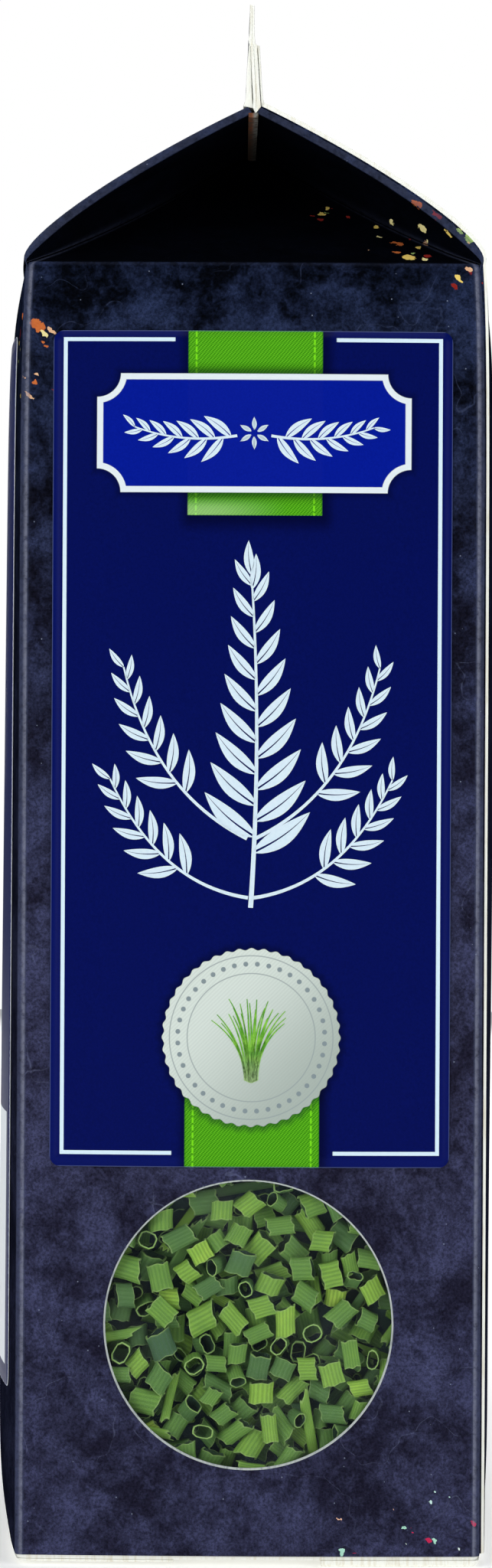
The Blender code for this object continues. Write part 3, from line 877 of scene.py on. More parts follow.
def ridge_strip():
    rings = []
    for i in range(25):
        y = RIDGE_GAP_LENGTH * i / 24 - RIDGE_GAP_LENGTH
        wide = 0.00074 - 0.00008 * i / 24
        z = RIDGE_Z - 0.0016 - 0.0004 * i / 24
        section = ((-1, 0.0006), (-1, 0), (-0.3, -0.00012), (0.5, -0.00008), (1, 0), (1, 0.0006))
        rings.append([(RIDGE_GAP_X + wide * across, y, z + up) for across, up in section])
    return as_mesh("ridge_gap", loft(rings))


gap_finish = Finish("bare_gap", roughness=0.8, specular=0.15)
# painted shade: the bare board darkens further back into the gap
recess_shade = gap_finish.step(gap_finish.y, -33.0, -8.0)
base = gap_finish.mix(gap_finish.step(gap_finish.x, -0.5, 0.2), ink(112, 62, 34), ink(120, 122, 118))
base = gap_finish.mix(gap_finish.step(gap_finish.noise(0.8, 3), 0.35, 0.65), base, ink(74, 60, 50))
base = gap_finish.mix(recess_shade * 0.75, base, ink(52, 50, 44))
gap_finish.put("Base Color", base)
gap_finish.bump(gap_finish.noise(0.4), 0.03, 0.5)
new_piece("ridge_gap", ridge_strip(), (gap_finish.material,))
print("ridge gap runs", RIDGE_GAP_LENGTH * 1000, "mm back")

# %% [markdown]
# ## Raw edge at the right
#
# The blank is closed into a tube at its right front corner: the right wall's edge is glued over a flap from the
# front. Its cut edge faces forwards as a thin cream line that climbs the corner, follows the roof and ends in the
# fin. The strip is a small section swept up that path. Behind the cut edge it thins out into the wall. Up the wall,
# the inner part of the cut edge is in the dark of the joint, so only its outer part is cream.

# %% Raw edge
EDGE_LEVELS, EDGE_HIGH, EDGE_LOW_WALL, EDGE_LOW_ROOF = 60, 0.00066, 0.00024, 0.00001


def edge_on_wall(y, out, z):
    return (half_side(z) + belly(y, z, SIDE_BELLY) * right_share(z) + out, y, z)


def edge_on_roof(y, out, s):
    place = roof_point(s, -out)
    return (place.x + roof_bow(s, y), y, place.y)


def edge_section(low):
    """Places along Y and how far out they are. The second side, from low to the top, is the cream one."""
    return (
        (-0.0346, -0.0003), (-0.0346, low), (-0.0346, EDGE_HIGH), (-0.0330, EDGE_HIGH),
        (-0.0300, EDGE_HIGH * 0.6), (-0.0260, 0.00004), (-0.0255, -0.0003),
    )


def raw_edge():
    start = FLAP_STACK + 0.0003
    levels = [start + (SHOULDER_Z - FLAP_STACK - 0.0003) * i / (EDGE_LEVELS - 1) for i in range(EDGE_LEVELS)]
    rings = [[edge_on_wall(y, out, z) for y, out in edge_section(EDGE_LOW_WALL)] for z in levels]
    rings += [[edge_on_roof(y, out, s) for y, out in edge_section(EDGE_LOW_ROOF)] for s in ROOF_SHARES[1:]]
    return as_mesh("raw_edge", loft(rings), 30)


edge_mesh = raw_edge()
section_sides = len(edge_section(EDGE_LOW_WALL))
for face in edge_mesh.polygons:
    face.material_index = 0 if len(face.vertices) == 4 and face.index % section_sides == 1 else 1
new_piece("raw_edge", edge_mesh, (cream, slate))
print("raw edge:", len(edge_mesh.polygons), "faces")

# %% [markdown]
# ## Base
#
# The bottom is closed by two inner flaps and, outside them, two outer ones that leave a shallow channel between
# them. Their unprinted edges show below the print as a cream band with a step in it. The left outer flap doesn't lie
# quite flat, so it is thinner at the front.

# %% Base flaps
FLAP_EDGE_X = 0.0112


def flap_ring(z, left, right, inset):
    """A rounded outline from left to right that follows the walls where it reaches them."""
    half = half_side(0) - inset
    full = fullness(FLAP_STACK)
    outline = carton_ring(z, half, half, CREASE_RADIUS, SIDE_BELLY * full, FRONT_BELLY * full)[0]
    return [(min(max(x, left), right), y, up) for x, y, up in outline]


def flap(left, right, levels):
    """A flap through levels, each with its height, how far it is drawn in, and how much its free edges are."""
    return as_mesh("flap", loft([flap_ring(z, left + low, right - high, inset) for z, inset, low, high in levels]), 50)


inner = flap(-1, 1, ((0.00104, 0.0005, 0, 0), (0.00112, 0.0003, 0, 0), (0.0019, 0.0003, 0, 0)))
right_flap = flap(FLAP_EDGE_X, 1, (
    (0.0, 0.0011, 0.0004, 0), (0.0001, 0.0006, 0.0002, 0), (0.0005, 0.0002, 0, 0), (0.00106, 0.0001, 0, 0),
))
left_flap = flap(-1, -FLAP_EDGE_X, (
    (0.0, 0.0011, 0, 0.0004), (0.0001, 0.0006, 0, 0.0002), (0.0005, 0.0003, 0, 0), (0.00106, 0.0002, 0, 0),
))
for vert in left_flap.vertices:
    if vert.co.z < 0.0008:
        vert.co.z += 0.0005 * max(0.0, -vert.co.y / 0.0355) ** 1.5
base_mesh = join_meshes("base_flaps", [inner, right_flap, left_flap])
new_piece("base_flaps", base_mesh, (cream,))
print("base flaps:", len(base_mesh.polygons), "faces")

# %% [markdown]
# ## Labels
#
# Both labels are paper stickers that follow the walls. A flat grid with rounded corners is laid on the wall by its
# rule, and Solidify gives it the thickness of paper, whose white cut edge is a second material.

# %% A sheet on a wall
def sheet_on_wall(name, surface, wide, low_z, high_z, corner, columns, rows):
    bm = bmesh.new()
    bmesh.ops.create_grid(bm, x_segments=columns, y_segments=rows, size=0.5)
    high = high_z - low_z
    for vert in bm.verts:
        vert.co = (vert.co.x * wide, vert.co.y * high, 0)
    corners = [v for v in bm.verts if abs(v.co.x) > wide / 2 - 1e-6 and abs(v.co.y) > high / 2 - 1e-6]
    bmesh.ops.bevel(bm, geom=corners, offset=corner, segments=8, affect="VERTICES", profile=0.5)
    for vert in bm.verts:
        vert.co = surface(vert.co.x, vert.co.y + (low_z + high_z) / 2)
    mesh = mesh_from(name, bm)
    middle = Vector(surface(0, (low_z + high_z) / 2))
    if sum((p.normal for p in mesh.polygons), Vector()).dot(Vector((middle.x, middle.y, 0))) < 0:
        mesh.flip_normals()
    mesh.shade_smooth()
    return mesh


def add_thickness(piece, amount, offset=1.0, rim=0):
    modifier = piece.modifiers.new("thickness", "SOLIDIFY")
    modifier.thickness, modifier.offset, modifier.material_offset_rim = amount, offset, rim
    return piece


paper_finish = Finish("paper_edge", roughness=0.8)
paper_finish.put("Base Color", paper_finish.mix(paper_finish.noise(0.4), ink(196, 202, 214), ink(232, 236, 240)))
paper_edge = paper_finish.material

# %% [markdown]
# The front label's print is drawn by distance: for each shape, a few sums give how far a point is from its outline,
# and a soft step on that distance fills it or draws a line along it. That stays sharp at any size. The design is
# plain: a navy ground, a white keyline with gaps, a woven green ribbon, a blue plaque with scooped corners, and a
# pale scalloped seal with a ring of dots. There is no lettering on it.

# %% Front label print
LABEL_WIDTH, LABEL_BOTTOM_Z, LABEL_TOP_Z, LABEL_CORNER = 0.0609, 0.0610, 0.1883, 0.0019
# in millimetres from here on: middle in X and Z, then half sizes or a radius
LABEL_FACE = (0.0, 124.65, 30.45, 63.65)
KEYLINE = (0.0, 125.05, 28.6, 61.9)
PLAQUE = (0.2, 172.7, 23.95, 9.05)
SEAL = (0.2, 80.75, 13.45)
DOTS, DOT_RING, SEAL_RINGS = 40.0, 11.2, (12.45, 9.75)
RIBBON_MIDDLE, RIBBON_HALF, RIBBON_END_Z = 0.35, 10.25, 160.2

label = Finish("front_label_print", specular=0.04)
x, z = label.x, label.z
grain = label.noise(0.35, 3, 0.7)
print_colour = label.mix(grain, ink(1, 8, 66), ink(5, 17, 98))
frame_line = label.box(x, z, KEYLINE)
print_colour = label.mix(label.step(frame_line, 0.0, 1.5) * 0.35, print_colour, ink(10, 26, 112))
gaps = label.step(abs(x - 0.4), 12.4, 12.2) * label.step(abs(z - KEYLINE[1]), 50.0, 50.2)
line = label.step(abs(frame_line), 0.33, 0.26) * (1 - gaps)
print_colour = label.mix(line, print_colour, ink(216, 238, 250))

# the ribbon, its shadow and its weave
across = x - RIBBON_MIDDLE
upper = label.step(z, RIBBON_END_Z - 0.08, RIBBON_END_Z + 0.08)
lower = label.step(z, 78.0, 77.8)
shadow = label.step(abs(across - 0.25), 12.6, 10.0) * label.step(z, RIBBON_END_Z - 3.4, RIBBON_END_Z - 0.2)
shadow = shadow + label.step(abs(across - 0.25), 12.2, 10.0) * lower
print_colour = label.mix(shadow.math("MINIMUM", 1.0) * 0.72, print_colour, ink(0, 2, 30))
wale = (x * (math.tau / 0.52) + z * (math.tau / 1.05)).math("SINE")
pick = (z * (math.tau / 0.40) + label.noise(0.8, 2) * 2.0).math("SINE")
weave = (wale * pick) * 0.5 + 0.5
cloth = label.mix(label.step(weave, 0.1, 0.9), ink(46, 132, 2), ink(108, 198, 38))
cloth = label.mix(label.noise(0.3, 2) * 0.35, cloth, ink(40, 120, 10))
stitch = label.step(abs(abs(across) - 9.0), 0.20, 0.08) * label.step((z * (math.tau / 1.15)).math("SINE"), -0.9, -0.4)
cloth = label.mix(stitch * 0.9, cloth, ink(126, 226, 30))
cloth = label.mix(label.step(abs(across), 10.0, 10.2) * 0.5, cloth, ink(28, 84, 6))
free_end = label.step(z, RIBBON_END_Z + 3.2, RIBBON_END_Z + 0.6) * upper * label.step(x, 6.0, -8.0)
cloth = label.mix(free_end * 0.42, cloth, ink(190, 224, 160))
near_plaque = label.step(abs(z - PLAQUE[1]), PLAQUE[3] + 2.2, PLAQUE[3] + 0.1)
cloth = label.mix(near_plaque * 0.55, cloth, ink(14, 60, 0))
seen = (upper + lower).math("MINIMUM", 1.0)
on_ribbon = label.step(abs(across), RIBBON_HALF + 0.06, RIBBON_HALF - 0.06) * seen
print_colour = label.mix(on_ribbon, print_colour, cloth)

# the plaque, with its shadow and rim
plaque_x, plaque_z = abs(x - PLAQUE[0]) - PLAQUE[2], abs(z - PLAQUE[1]) - PLAQUE[3]
scoop = 3.6 - (plaque_x * plaque_x + plaque_z * plaque_z).math("SQRT")
plaque = plaque_x.math("MAXIMUM", plaque_z).math("MAXIMUM", scoop)
print_colour = label.mix(label.step(plaque, 1.3, 0.0) * 0.45, print_colour, ink(0, 3, 26))
print_colour = label.mix(label.step(plaque, 0.06, -0.06), print_colour, ink(226, 236, 240))
plaque_blue = label.mix(grain, ink(0, 18, 132), ink(6, 30, 158))
print_colour = label.mix(label.step(plaque, -0.86, -0.98), print_colour, plaque_blue)

# the seal: scalloped rim, ring of dots, fine ribs
seal_x, seal_z = x - SEAL[0], z - SEAL[1]
radius = (seal_x * seal_x + seal_z * seal_z).math("SQRT")
angle = label.node("ShaderNodeMath", {"operation": "ARCTAN2"}, {0: seal_z, 1: seal_x})
scallop = radius - SEAL[2] - (angle * 44.0).math("COSINE") * 0.16
print_colour = label.mix(label.step(scallop, 1.5, 0.0) * 0.55, print_colour, ink(0, 3, 30))
ribs = ((seal_x - seal_z) * (math.tau / 0.62)).math("SINE") * 0.5 + 0.5
slant = label.step(seal_x * 0.7 - seal_z * 0.7, -9.0, 13.0)
pale = label.mix(slant, ink(216, 226, 218), ink(170, 182, 174))
pale = label.mix(ribs * 0.18, pale, ink(158, 170, 164))
turned = ((angle * (DOTS / math.tau) + DOTS).math("FRACT") - 0.5) * (math.tau * DOT_RING / DOTS)
dot = (turned * turned + (radius - DOT_RING) * (radius - DOT_RING)).math("SQRT")
pale = label.mix(label.step(dot, 0.42, 0.32), pale, ink(132, 146, 150))
for ring in SEAL_RINGS:
    pale = label.mix(label.step(abs(radius - ring), 0.12, 0.05) * 0.8, pale, ink(150, 162, 162))
print_colour = label.mix(label.step(scallop, 0.06, -0.06), print_colour, pale)
rim = label.step(label.box(x, z, LABEL_FACE), -0.16, -0.04)
label.put("Base Color", label.mix(rim * 0.6, print_colour, ink(96, 108, 150)))
label.put("Roughness", 0.36 + on_ribbon * 0.2 + label.noise(1.4) * 0.06)
label.bump(weave * on_ribbon * 0.5 + label.noise(0.6, 3) * 0.5, 0.02, 0.35)
print("front label print:", len(label.tree.nodes), "nodes")

# %% The two labels
SIDE_WIDTH, SIDE_BOTTOM_Z = 0.058, 0.0260
SIDE_FACE, SIDE_FIELD = (0.0, 107.15, 29.0, 81.15), (0.0, 48.6, 25.6, 19.6)


def on_front(x, z):
    return (x, front_wall_y(x, z, -LABEL_GAP), z)


def on_left(y, z):
    return (-half_side(z) - belly(y, z, SIDE_BELLY) - LABEL_GAP, y, z)


side = Finish("side_label_print", specular=0.06)
side_grain = side.noise(0.35, 3, 0.7)
side_colour = side.mix(side_grain, ink(2, 9, 56), ink(8, 22, 92))
field = side.box(side.y, side.z, SIDE_FIELD)
field_colour = side.mix(side.noise(0.8), ink(222, 228, 234), ink(238, 242, 244))
side_colour = side.mix(side.step(field, 0.05, -0.05), side_colour, field_colour)
side_rim = side.box(side.y, side.z, SIDE_FACE)
speckle = side.step(side.noise(0.5, 2, 0.6), 0.45, 0.6)
side_colour = side.mix(side.step(side_rim, -0.35, -0.1) * speckle, side_colour, ink(168, 178, 205))
side.put("Base Color", side_colour)
side.put("Roughness", 0.36 + side.noise(1.4) * 0.08)
side.bump(side.noise(0.6, 3), 0.02, 0.3)

front_mesh = sheet_on_wall("front_label", on_front, LABEL_WIDTH, LABEL_BOTTOM_Z, LABEL_TOP_Z, LABEL_CORNER, 36, 72)
front_label = new_piece("label_front", front_mesh, (label.material, paper_edge), ("front_label",))
add_thickness(front_label, PAPER, rim=1)
side_mesh = sheet_on_wall("side_label", on_left, SIDE_WIDTH, SIDE_BOTTOM_Z, LABEL_TOP_Z, LABEL_CORNER, 40, 84)
side_label = new_piece("label_side", side_mesh, (side.material, paper_edge), ("side_label",))
add_thickness(side_label, PAPER, rim=1)
print("labels:", len(front_mesh.polygons), "and", len(side_mesh.polygons), "faces")

# %% [markdown]
# ## Printed sprig
#
# In the middle of the label stands a white sprig of a herb, with side shoots. A sprig follows a rule: leaves stand in
# turn on both sides of a stem, each a little shorter than the last. Geometry Nodes do that: the stem's line becomes
# a curve, points are put along it, and one leaf is set on each, turned away from the stem. The result is flat and is
# then laid on the label by the wall's own rule, as a skin of ink.
#
# The filling is laid by Geometry Nodes too, so what both trees share is one class: inputs by name, a shape set on
# each point, and a run on a mesh that gives back the mesh that was made.

# %% The start of every growth
class Growth(Recipe):
    """A Geometry Nodes tree that sets shapes on points."""

    def __init__(self, name, source, inputs, result):
        super().__init__(bpy.data.node_groups.new(name, "GeometryNodeTree"))
        self.named = {}
        for label, kind in ((source, "Geometry"), *inputs):
            self.named[label] = self.add_socket("INPUT", label, kind).identifier
        self.add_socket("OUTPUT", result, "Geometry")
        self.given = self.tree.nodes.new("NodeGroupInput")

    def add_socket(self, side, label, kind):
        return self.tree.interface.new_socket(label, in_out=side, socket_type=f"NodeSocket{kind}")

    def asked(self, label):
        return Wire(self, self.given.outputs[label])

    def set_shapes(self, material, **sockets):
        """Ends the tree: shapes on points, made real, with their material."""
        spread = {name.replace("_", " "): value for name, value in sockets.items()}
        grown = self.node("GeometryNodeInstanceOnPoints", sockets=spread)
        whole = self.node("GeometryNodeRealizeInstances", sockets={0: grown})
        done = self.node("GeometryNodeSetMaterial", sockets={"Geometry": whole, "Material": self.asked(material)})
        self.tree.links.new(done.socket, self.tree.nodes.new("NodeGroupOutput").inputs[0])

    def run(self, mesh, values):
        carrier = add_object(self.tree.name, mesh)
        modifier = carrier.modifiers.new(self.tree.name, "NODES")
        modifier.node_group = self.tree
        for label, value in values.items():
            modifier[self.named[label]] = value
        made = baked(carrier)
        bpy.data.objects.remove(carrier)
        return made


print("growths set shapes on points")

# %% One leaf
def leaf_mesh():
    """A slender leaf of unit length along X, in two halves with a bare midrib between them."""
    bm = bmesh.new()
    for half in (-1, 1):
        lower, upper = [], []
        for i in range(13):
            t = i / 12
            swell = math.sin(math.pi * t**0.85) ** 0.9 if 0 < t < 1 else 0.0
            curl = 0.05 * math.sin(math.pi * t)
            lower.append(bm.verts.new((t, half * (0.016 * (1 - t) + 0.0005) + curl, 0)))
            upper.append(bm.verts.new((t, half * (0.017 * (1 - t) + 0.001 + 0.13 * swell) + curl, 0)))
        for i in range(12):
            bm.faces.new((lower[i], lower[i + 1], upper[i + 1], upper[i]))
    return mesh_from("leaf", bm)


leaf = add_object("leaf", leaf_mesh())
print("a leaf has", len(leaf.data.polygons), "faces")

# %% Leaves along a stem
def leaves_on_stem():
    """Sets a leaf on each point of a line, on its two sides in turn."""
    grow = Growth("leaves_on_stem", "Stem", (
        ("Leaf", "Object"), ("Count", "Int"), ("First length", "Float"), ("Last length", "Float"),
        ("First angle", "Float"), ("Last angle", "Float"), ("Ink", "Material"),
    ), "Leaves")
    curve = grow.node("GeometryNodeMeshToCurve", sockets={0: grow.asked("Stem")})
    counted = {0: curve, "Count": grow.asked("Count")}
    points = grow.node("GeometryNodeCurveToPoints", {"mode": "COUNT"}, counted).socket.node
    number = grow.node("GeometryNodeInputIndex")
    along = number / (grow.asked("Count") - 1)
    side = number.math("MODULO", 2.0) * 2 - 1

    def from_first(what):
        first, last = grow.asked(f"First {what}"), grow.asked(f"Last {what}")
        return first + (last - first) * along

    length = from_first("length")
    turn = grow.node("ShaderNodeCombineXYZ", sockets={2: side * from_first("angle")})
    tangent = {"Vector": Wire(grow, points.outputs["Tangent"])}
    line = grow.node("FunctionNodeAlignRotationToVector", {"axis": "X"}, tangent)
    grow.set_shapes(
        "Ink",
        Points=Wire(grow, points.outputs["Points"]),
        Instance=grow.node("GeometryNodeObjectInfo", sockets={"Object": grow.asked("Leaf")}, output="Geometry"),
        Rotation=grow.node("FunctionNodeRotateRotation", {"rotation_space": "GLOBAL"}, {0: line, 1: turn}),
        Scale=grow.node("ShaderNodeCombineXYZ", sockets={0: length, 1: length * side, 2: 1.0}),
    )
    return grow


def line_mesh(points):
    mesh = bpy.data.meshes.new("line")
    mesh.from_pydata([(x, z, 0) for x, z in points], [(i, i + 1) for i in range(len(points) - 1)], [])
    return mesh


def curve_between(start, bend, end, steps):
    """Points on a bent line, in millimetres."""
    made = []
    for i in range(steps + 1):
        t = i / steps
        made.append(tuple((1 - t) ** 2 * a + 2 * t * (1 - t) * b + t * t * c for a, b, c in zip(start, bend, end)))
    return made


LEAVES = leaves_on_stem()


def leaves_along(points, count, first, last, first_angle, last_angle):
    """Leaves on a line. Their lengths are in millimetres, their angles from the stem in degrees."""
    return LEAVES.run(line_mesh(points), {
        "Leaf": leaf, "Count": count, "First length": first, "Last length": last,
        "First angle": math.radians(first_angle), "Last angle": math.radians(last_angle),
    })


def stroke(points, wide, narrow):
    """A flat line of ink along points, in millimetres, that gets thinner."""
    bm = bmesh.new()
    last = len(points) - 1
    before = None
    for i, (x, z) in enumerate(points):
        a, b = points[max(i - 1, 0)], points[min(i + 1, last)]
        along = Vector((b[0] - a[0], b[1] - a[1])).normalized()
        half = (wide + (narrow - wide) * i / last) / 2
        pair = [bm.verts.new((x - along.y * part, z + along.x * part, 0)) for part in (half, -half)]
        if before:
            bm.faces.new((before[0], before[1], pair[1], pair[0]))
        before = pair
    return mesh_from("stroke", bm)


print("leaf tree:", len(LEAVES.tree.nodes), "nodes")

# %% The sprigs on the label
INK = 0.00002


def laid_on_label(name, meshes, finish, middle=(0.0, 0.0)):
    """Lays flat meshes, in millimetres, on the front label as a skin of ink."""
    mesh = join_meshes(name, meshes)
    for vert in mesh.vertices:
        across, up = (vert.co.x + middle[0]) / 1000, (vert.co.y + middle[1]) / 1000
        vert.co = (across, front_wall_y(across, up, -LABEL_GAP - PAPER - INK), up)
    bm = bmesh.new()
    bm.from_mesh(mesh)
    bm.normal_update()
    bmesh.ops.reverse_faces(bm, faces=[face for face in bm.faces if face.normal.y > 0])
    bm.to_mesh(mesh)
    bm.free()
    mesh.materials.clear()
    return add_thickness(new_piece(name, mesh, (finish,)), INK)


white_finish = Finish("white_ink", roughness=0.45, specular=0.3)
white_finish.put("Base Color", white_finish.mix(white_finish.noise(0.5), ink(204, 226, 240), ink(226, 242, 250)))
white_finish.bump(white_finish.noise(0.4), 0.01, 0.3)
white_ink = white_finish.material

sprig = []
main_stem = curve_between((0, 100.5), (1.6, 126), (0, 149.5), 30)
sprig += [stroke(main_stem, 0.75, 0.3), leaves_along(main_stem[5:], 18, 10.5, 4.8, 52, 30)]
sprig.append(leaves_along([(0, 149), (0, 150), (0, 151)], 2, 5.4, 5.4, 6, 6))
for side_sign in (-1, 1):
    for start, bend, end, count, first in (
        ((0.4, 102), (14, 104), (21.5, 120), 12, 6.4),
        ((0.6, 111), (15, 118), (19.5, 137), 12, 6.6),
    ):
        shoot = [(side_sign * px, pz) for px, pz in curve_between(start, bend, end, 24)]
        sprig += [stroke(shoot, 0.55, 0.25), leaves_along(shoot[9:], count, first, 3.6, 46, 24)]
sprig_piece = laid_on_label("sprig_print", sprig, white_ink)

emblem = []
for side_sign in (-1, 1):
    spray = [(side_sign * px, pz) for px, pz in curve_between((2.6, -0.4), (11, -1.8), (18.2, 0.9), 18)]
    emblem += [stroke(spray, 0.42, 0.2), leaves_along(spray[1:], 13, 5.2, 2.6, 44, 26)]
for i in range(6):
    turn = math.tau * i / 6 + math.pi / 6
    petal = [(reach * math.cos(turn), reach * math.sin(turn)) for reach in (0.5, 0.6)]
    emblem.append(leaves_along(petal, 2, 1.9, 1.9, 0, 0))
emblem_piece = laid_on_label("plaque_print", emblem, white_ink, PLAQUE[:2])
print("sprig:", len(sprig_piece.data.polygons), "faces; plaque:", len(emblem_piece.data.polygons), "faces")

# %% [markdown]
# The seal holds a small tuft of chives, drawn with plain tapering strokes that fan out from one foot. The strokes
# bend outwards more the further out they stand, and their lengths are drawn from a seeded list of chances.

# %% The tuft on the seal
tuft_finish = Finish("green_ink", roughness=0.45, specular=0.3)
leafy = tuft_finish.mix(tuft_finish.step(tuft_finish.noise(1.3, 3), 0.35, 0.65), ink(84, 158, 30), ink(134, 200, 64))
leafy = tuft_finish.mix(tuft_finish.step(tuft_finish.z, 79.5, 73.5) * 0.6, leafy, ink(206, 232, 178))
tuft_finish.put("Base Color", leafy)
tuft_finish.bump(tuft_finish.noise(0.3), 0.01, 0.3)

draw = random.Random(7)
tuft = []
for i in range(21):
    lean = (i - 10) / 10
    tall = draw.uniform(10.5, 14.2) * (1 - 0.22 * abs(lean))
    foot = (lean * 0.9, -6.9 + abs(lean) * 0.4)
    tip = (lean * 5.6 + draw.uniform(-0.7, 0.7), foot[1] + tall)
    bend = (lean * 1.2 + draw.uniform(-0.4, 0.4), foot[1] + tall * 0.62)
    tuft.append(stroke(curve_between(foot, bend, tip, 14), draw.uniform(0.34, 0.5), 0.12))
laid_on_label("tuft_print", tuft, tuft_finish.material, SEAL[:2])
print("tuft:", len(tuft), "strokes")

# %% [markdown]
# ## Chopped chives
#
# A dried chive is a thin hollow stalk. Chopped, it makes short tubes, most of them pressed flat, with crisp cut ends
# that are a little paler, partly their own colour and partly painted highlight. Behind the window they lie in a heap
# against the film, so many show their flat side and some stand end-on as rings.
#
# The heap is packed by the same rule as in the CAD, from the same seed, so its first layer lies where the solid
# pieces are, and the rule then goes on for the layers behind: each piece is tried at sixty places and turns, and laid
# where it gets nearest to the film. It keeps a map of how deep the heap is at each place.

# %% Packing the heap
POCKET_RADIUS, PIECE_SEED, PIECE_TRIES, PIECE_FIELD_RADIUS = 0.0252, 21, 60, 0.0238
PIECE_FILM_GAP, DEPTH_CELL, PIECE_TOTAL = 0.0005, 0.0003, 640
UPRIGHT_CHANCE, LYING_CHANCE = 0.16, 0.94


def draw_piece(draw):
    chance = draw.random()
    if chance < UPRIGHT_CHANCE:
        kind = "upright"
        half_wide = draw.uniform(0.0012, 0.0018)
        half_deep = half_wide * draw.uniform(0.62, 0.95)
        length = draw.uniform(0.0022, 0.0034)
    elif chance < LYING_CHANCE:
        kind = "lying"
        half_wide = draw.uniform(0.0012, 0.0021)
        half_deep = half_wide * draw.uniform(0.45, 0.85)
        length = draw.uniform(0.0026, 0.0048)
    else:
        kind = "strip"
        half_wide = draw.uniform(0.0007, 0.0009)
        half_deep = half_wide
        length = draw.uniform(0.007, 0.012)
    turn = draw.uniform(0, math.pi)
    tilt = draw.gauss(0, 0.42 if kind == "upright" else 0.13)
    return {"kind": kind, "half_wide": half_wide, "half_deep": half_deep, "length": length, "turn": turn, "tilt": tilt}


def footprint(piece, across, up, cells_x, cells_y):
    """Where a piece covers the depth map, how deep its near side is and how deep its far side is."""
    cos_t, sin_t = math.cos(piece["turn"]), math.sin(piece["turn"])
    along = (cells_x - across) * cos_t + (cells_y - up) * sin_t
    aside = (cells_y - up) * cos_t - (cells_x - across) * sin_t
    if piece["kind"] == "upright":
        covered = (along / piece["half_deep"]) ** 2 + (aside / piece["half_wide"]) ** 2 <= 1
        lean = piece["half_deep"] * abs(math.sin(piece["tilt"]))
        near = np.full_like(along, piece["length"] / 2 * math.cos(piece["tilt"]) + lean)
        return covered, near, near
    covered = (np.abs(along) <= piece["length"] / 2) & (np.abs(aside) <= piece["half_wide"])
    bulge = piece["half_deep"] * np.sqrt(np.clip(1 - (aside / piece["half_wide"]) ** 2, 0, 1))
    lean = along * math.tan(piece["tilt"])
    return covered, bulge - lean, bulge + lean


def pack_pieces(count):
    draw = random.Random(PIECE_SEED)
    ticks = np.arange(-POCKET_RADIUS, POCKET_RADIUS + DEPTH_CELL, DEPTH_CELL)
    cells_x, cells_y = np.meshgrid(ticks, ticks, indexing="ij")
    taken = np.zeros_like(cells_x)
    pieces = []
    for _ in range(count):
        piece = draw_piece(draw)
        best = None
        for _ in range(PIECE_TRIES):
            distance = PIECE_FIELD_RADIUS * math.sqrt(draw.random())
            bearing = draw.uniform(0, 2 * math.pi)
            across, up = distance * math.cos(bearing), distance * math.sin(bearing)
            piece["turn"] = draw.uniform(0, math.pi)
            covered, near, far = footprint(piece, across, up, cells_x, cells_y)
            depth = float((taken + near)[covered].max())
            if best is None or depth < best[0]:
                best = (depth, across, up, piece["turn"], covered, far)
        depth, piece["across"], piece["up"], piece["turn"], covered, far = best
        piece["depth"] = depth
        taken[covered] = np.maximum(taken, depth + far)[covered]
        pieces.append(piece)
    return pieces


def piece_place(piece):
    lean = Matrix.Rotation(piece["tilt"], 4, "Y")
    lay_down = Matrix.Identity(4) if piece["kind"] == "upright" else Matrix.Rotation(math.pi / 2, 4, "Y")
    turn = Matrix.Rotation(piece["turn"], 4, "Z")
    x, z = piece["across"], WINDOW_Z + piece["up"]
    y = front_wall_y(x, z, BOARD + GLUE_GAP + FILM_THICKNESS + PIECE_FILM_GAP + piece["depth"])
    return Matrix.Translation((x, y, z)) @ Matrix.Rotation(math.pi / 2, 4, "X") @ turn @ lean @ lay_down


heap = pack_pieces(PIECE_TOTAL)
print("pieces:", len(heap), "deepest", round(max(p["depth"] for p in heap) * 1000, 1), "mm")

# %% [markdown]
# Twelve cut tubes are modelled, in unit sizes: from round to nearly square, some with a dent, all with slanting and
# slightly torn ends. UVs say which face is which: V runs from 0 to 1 along the outside, 2 to 3 along the inside,
# and is 5 on the cut ends. Geometry Nodes set one of them on each point of the heap, with the size, turn and tone
# that the point carries. The size also presses it flat.

# %% Cut tubes
TUBE_KINDS, TUBE_SIDES = 12, 12
tubes = bpy.data.collections.new("cut_tubes")
scene.collection.children.link(tubes)


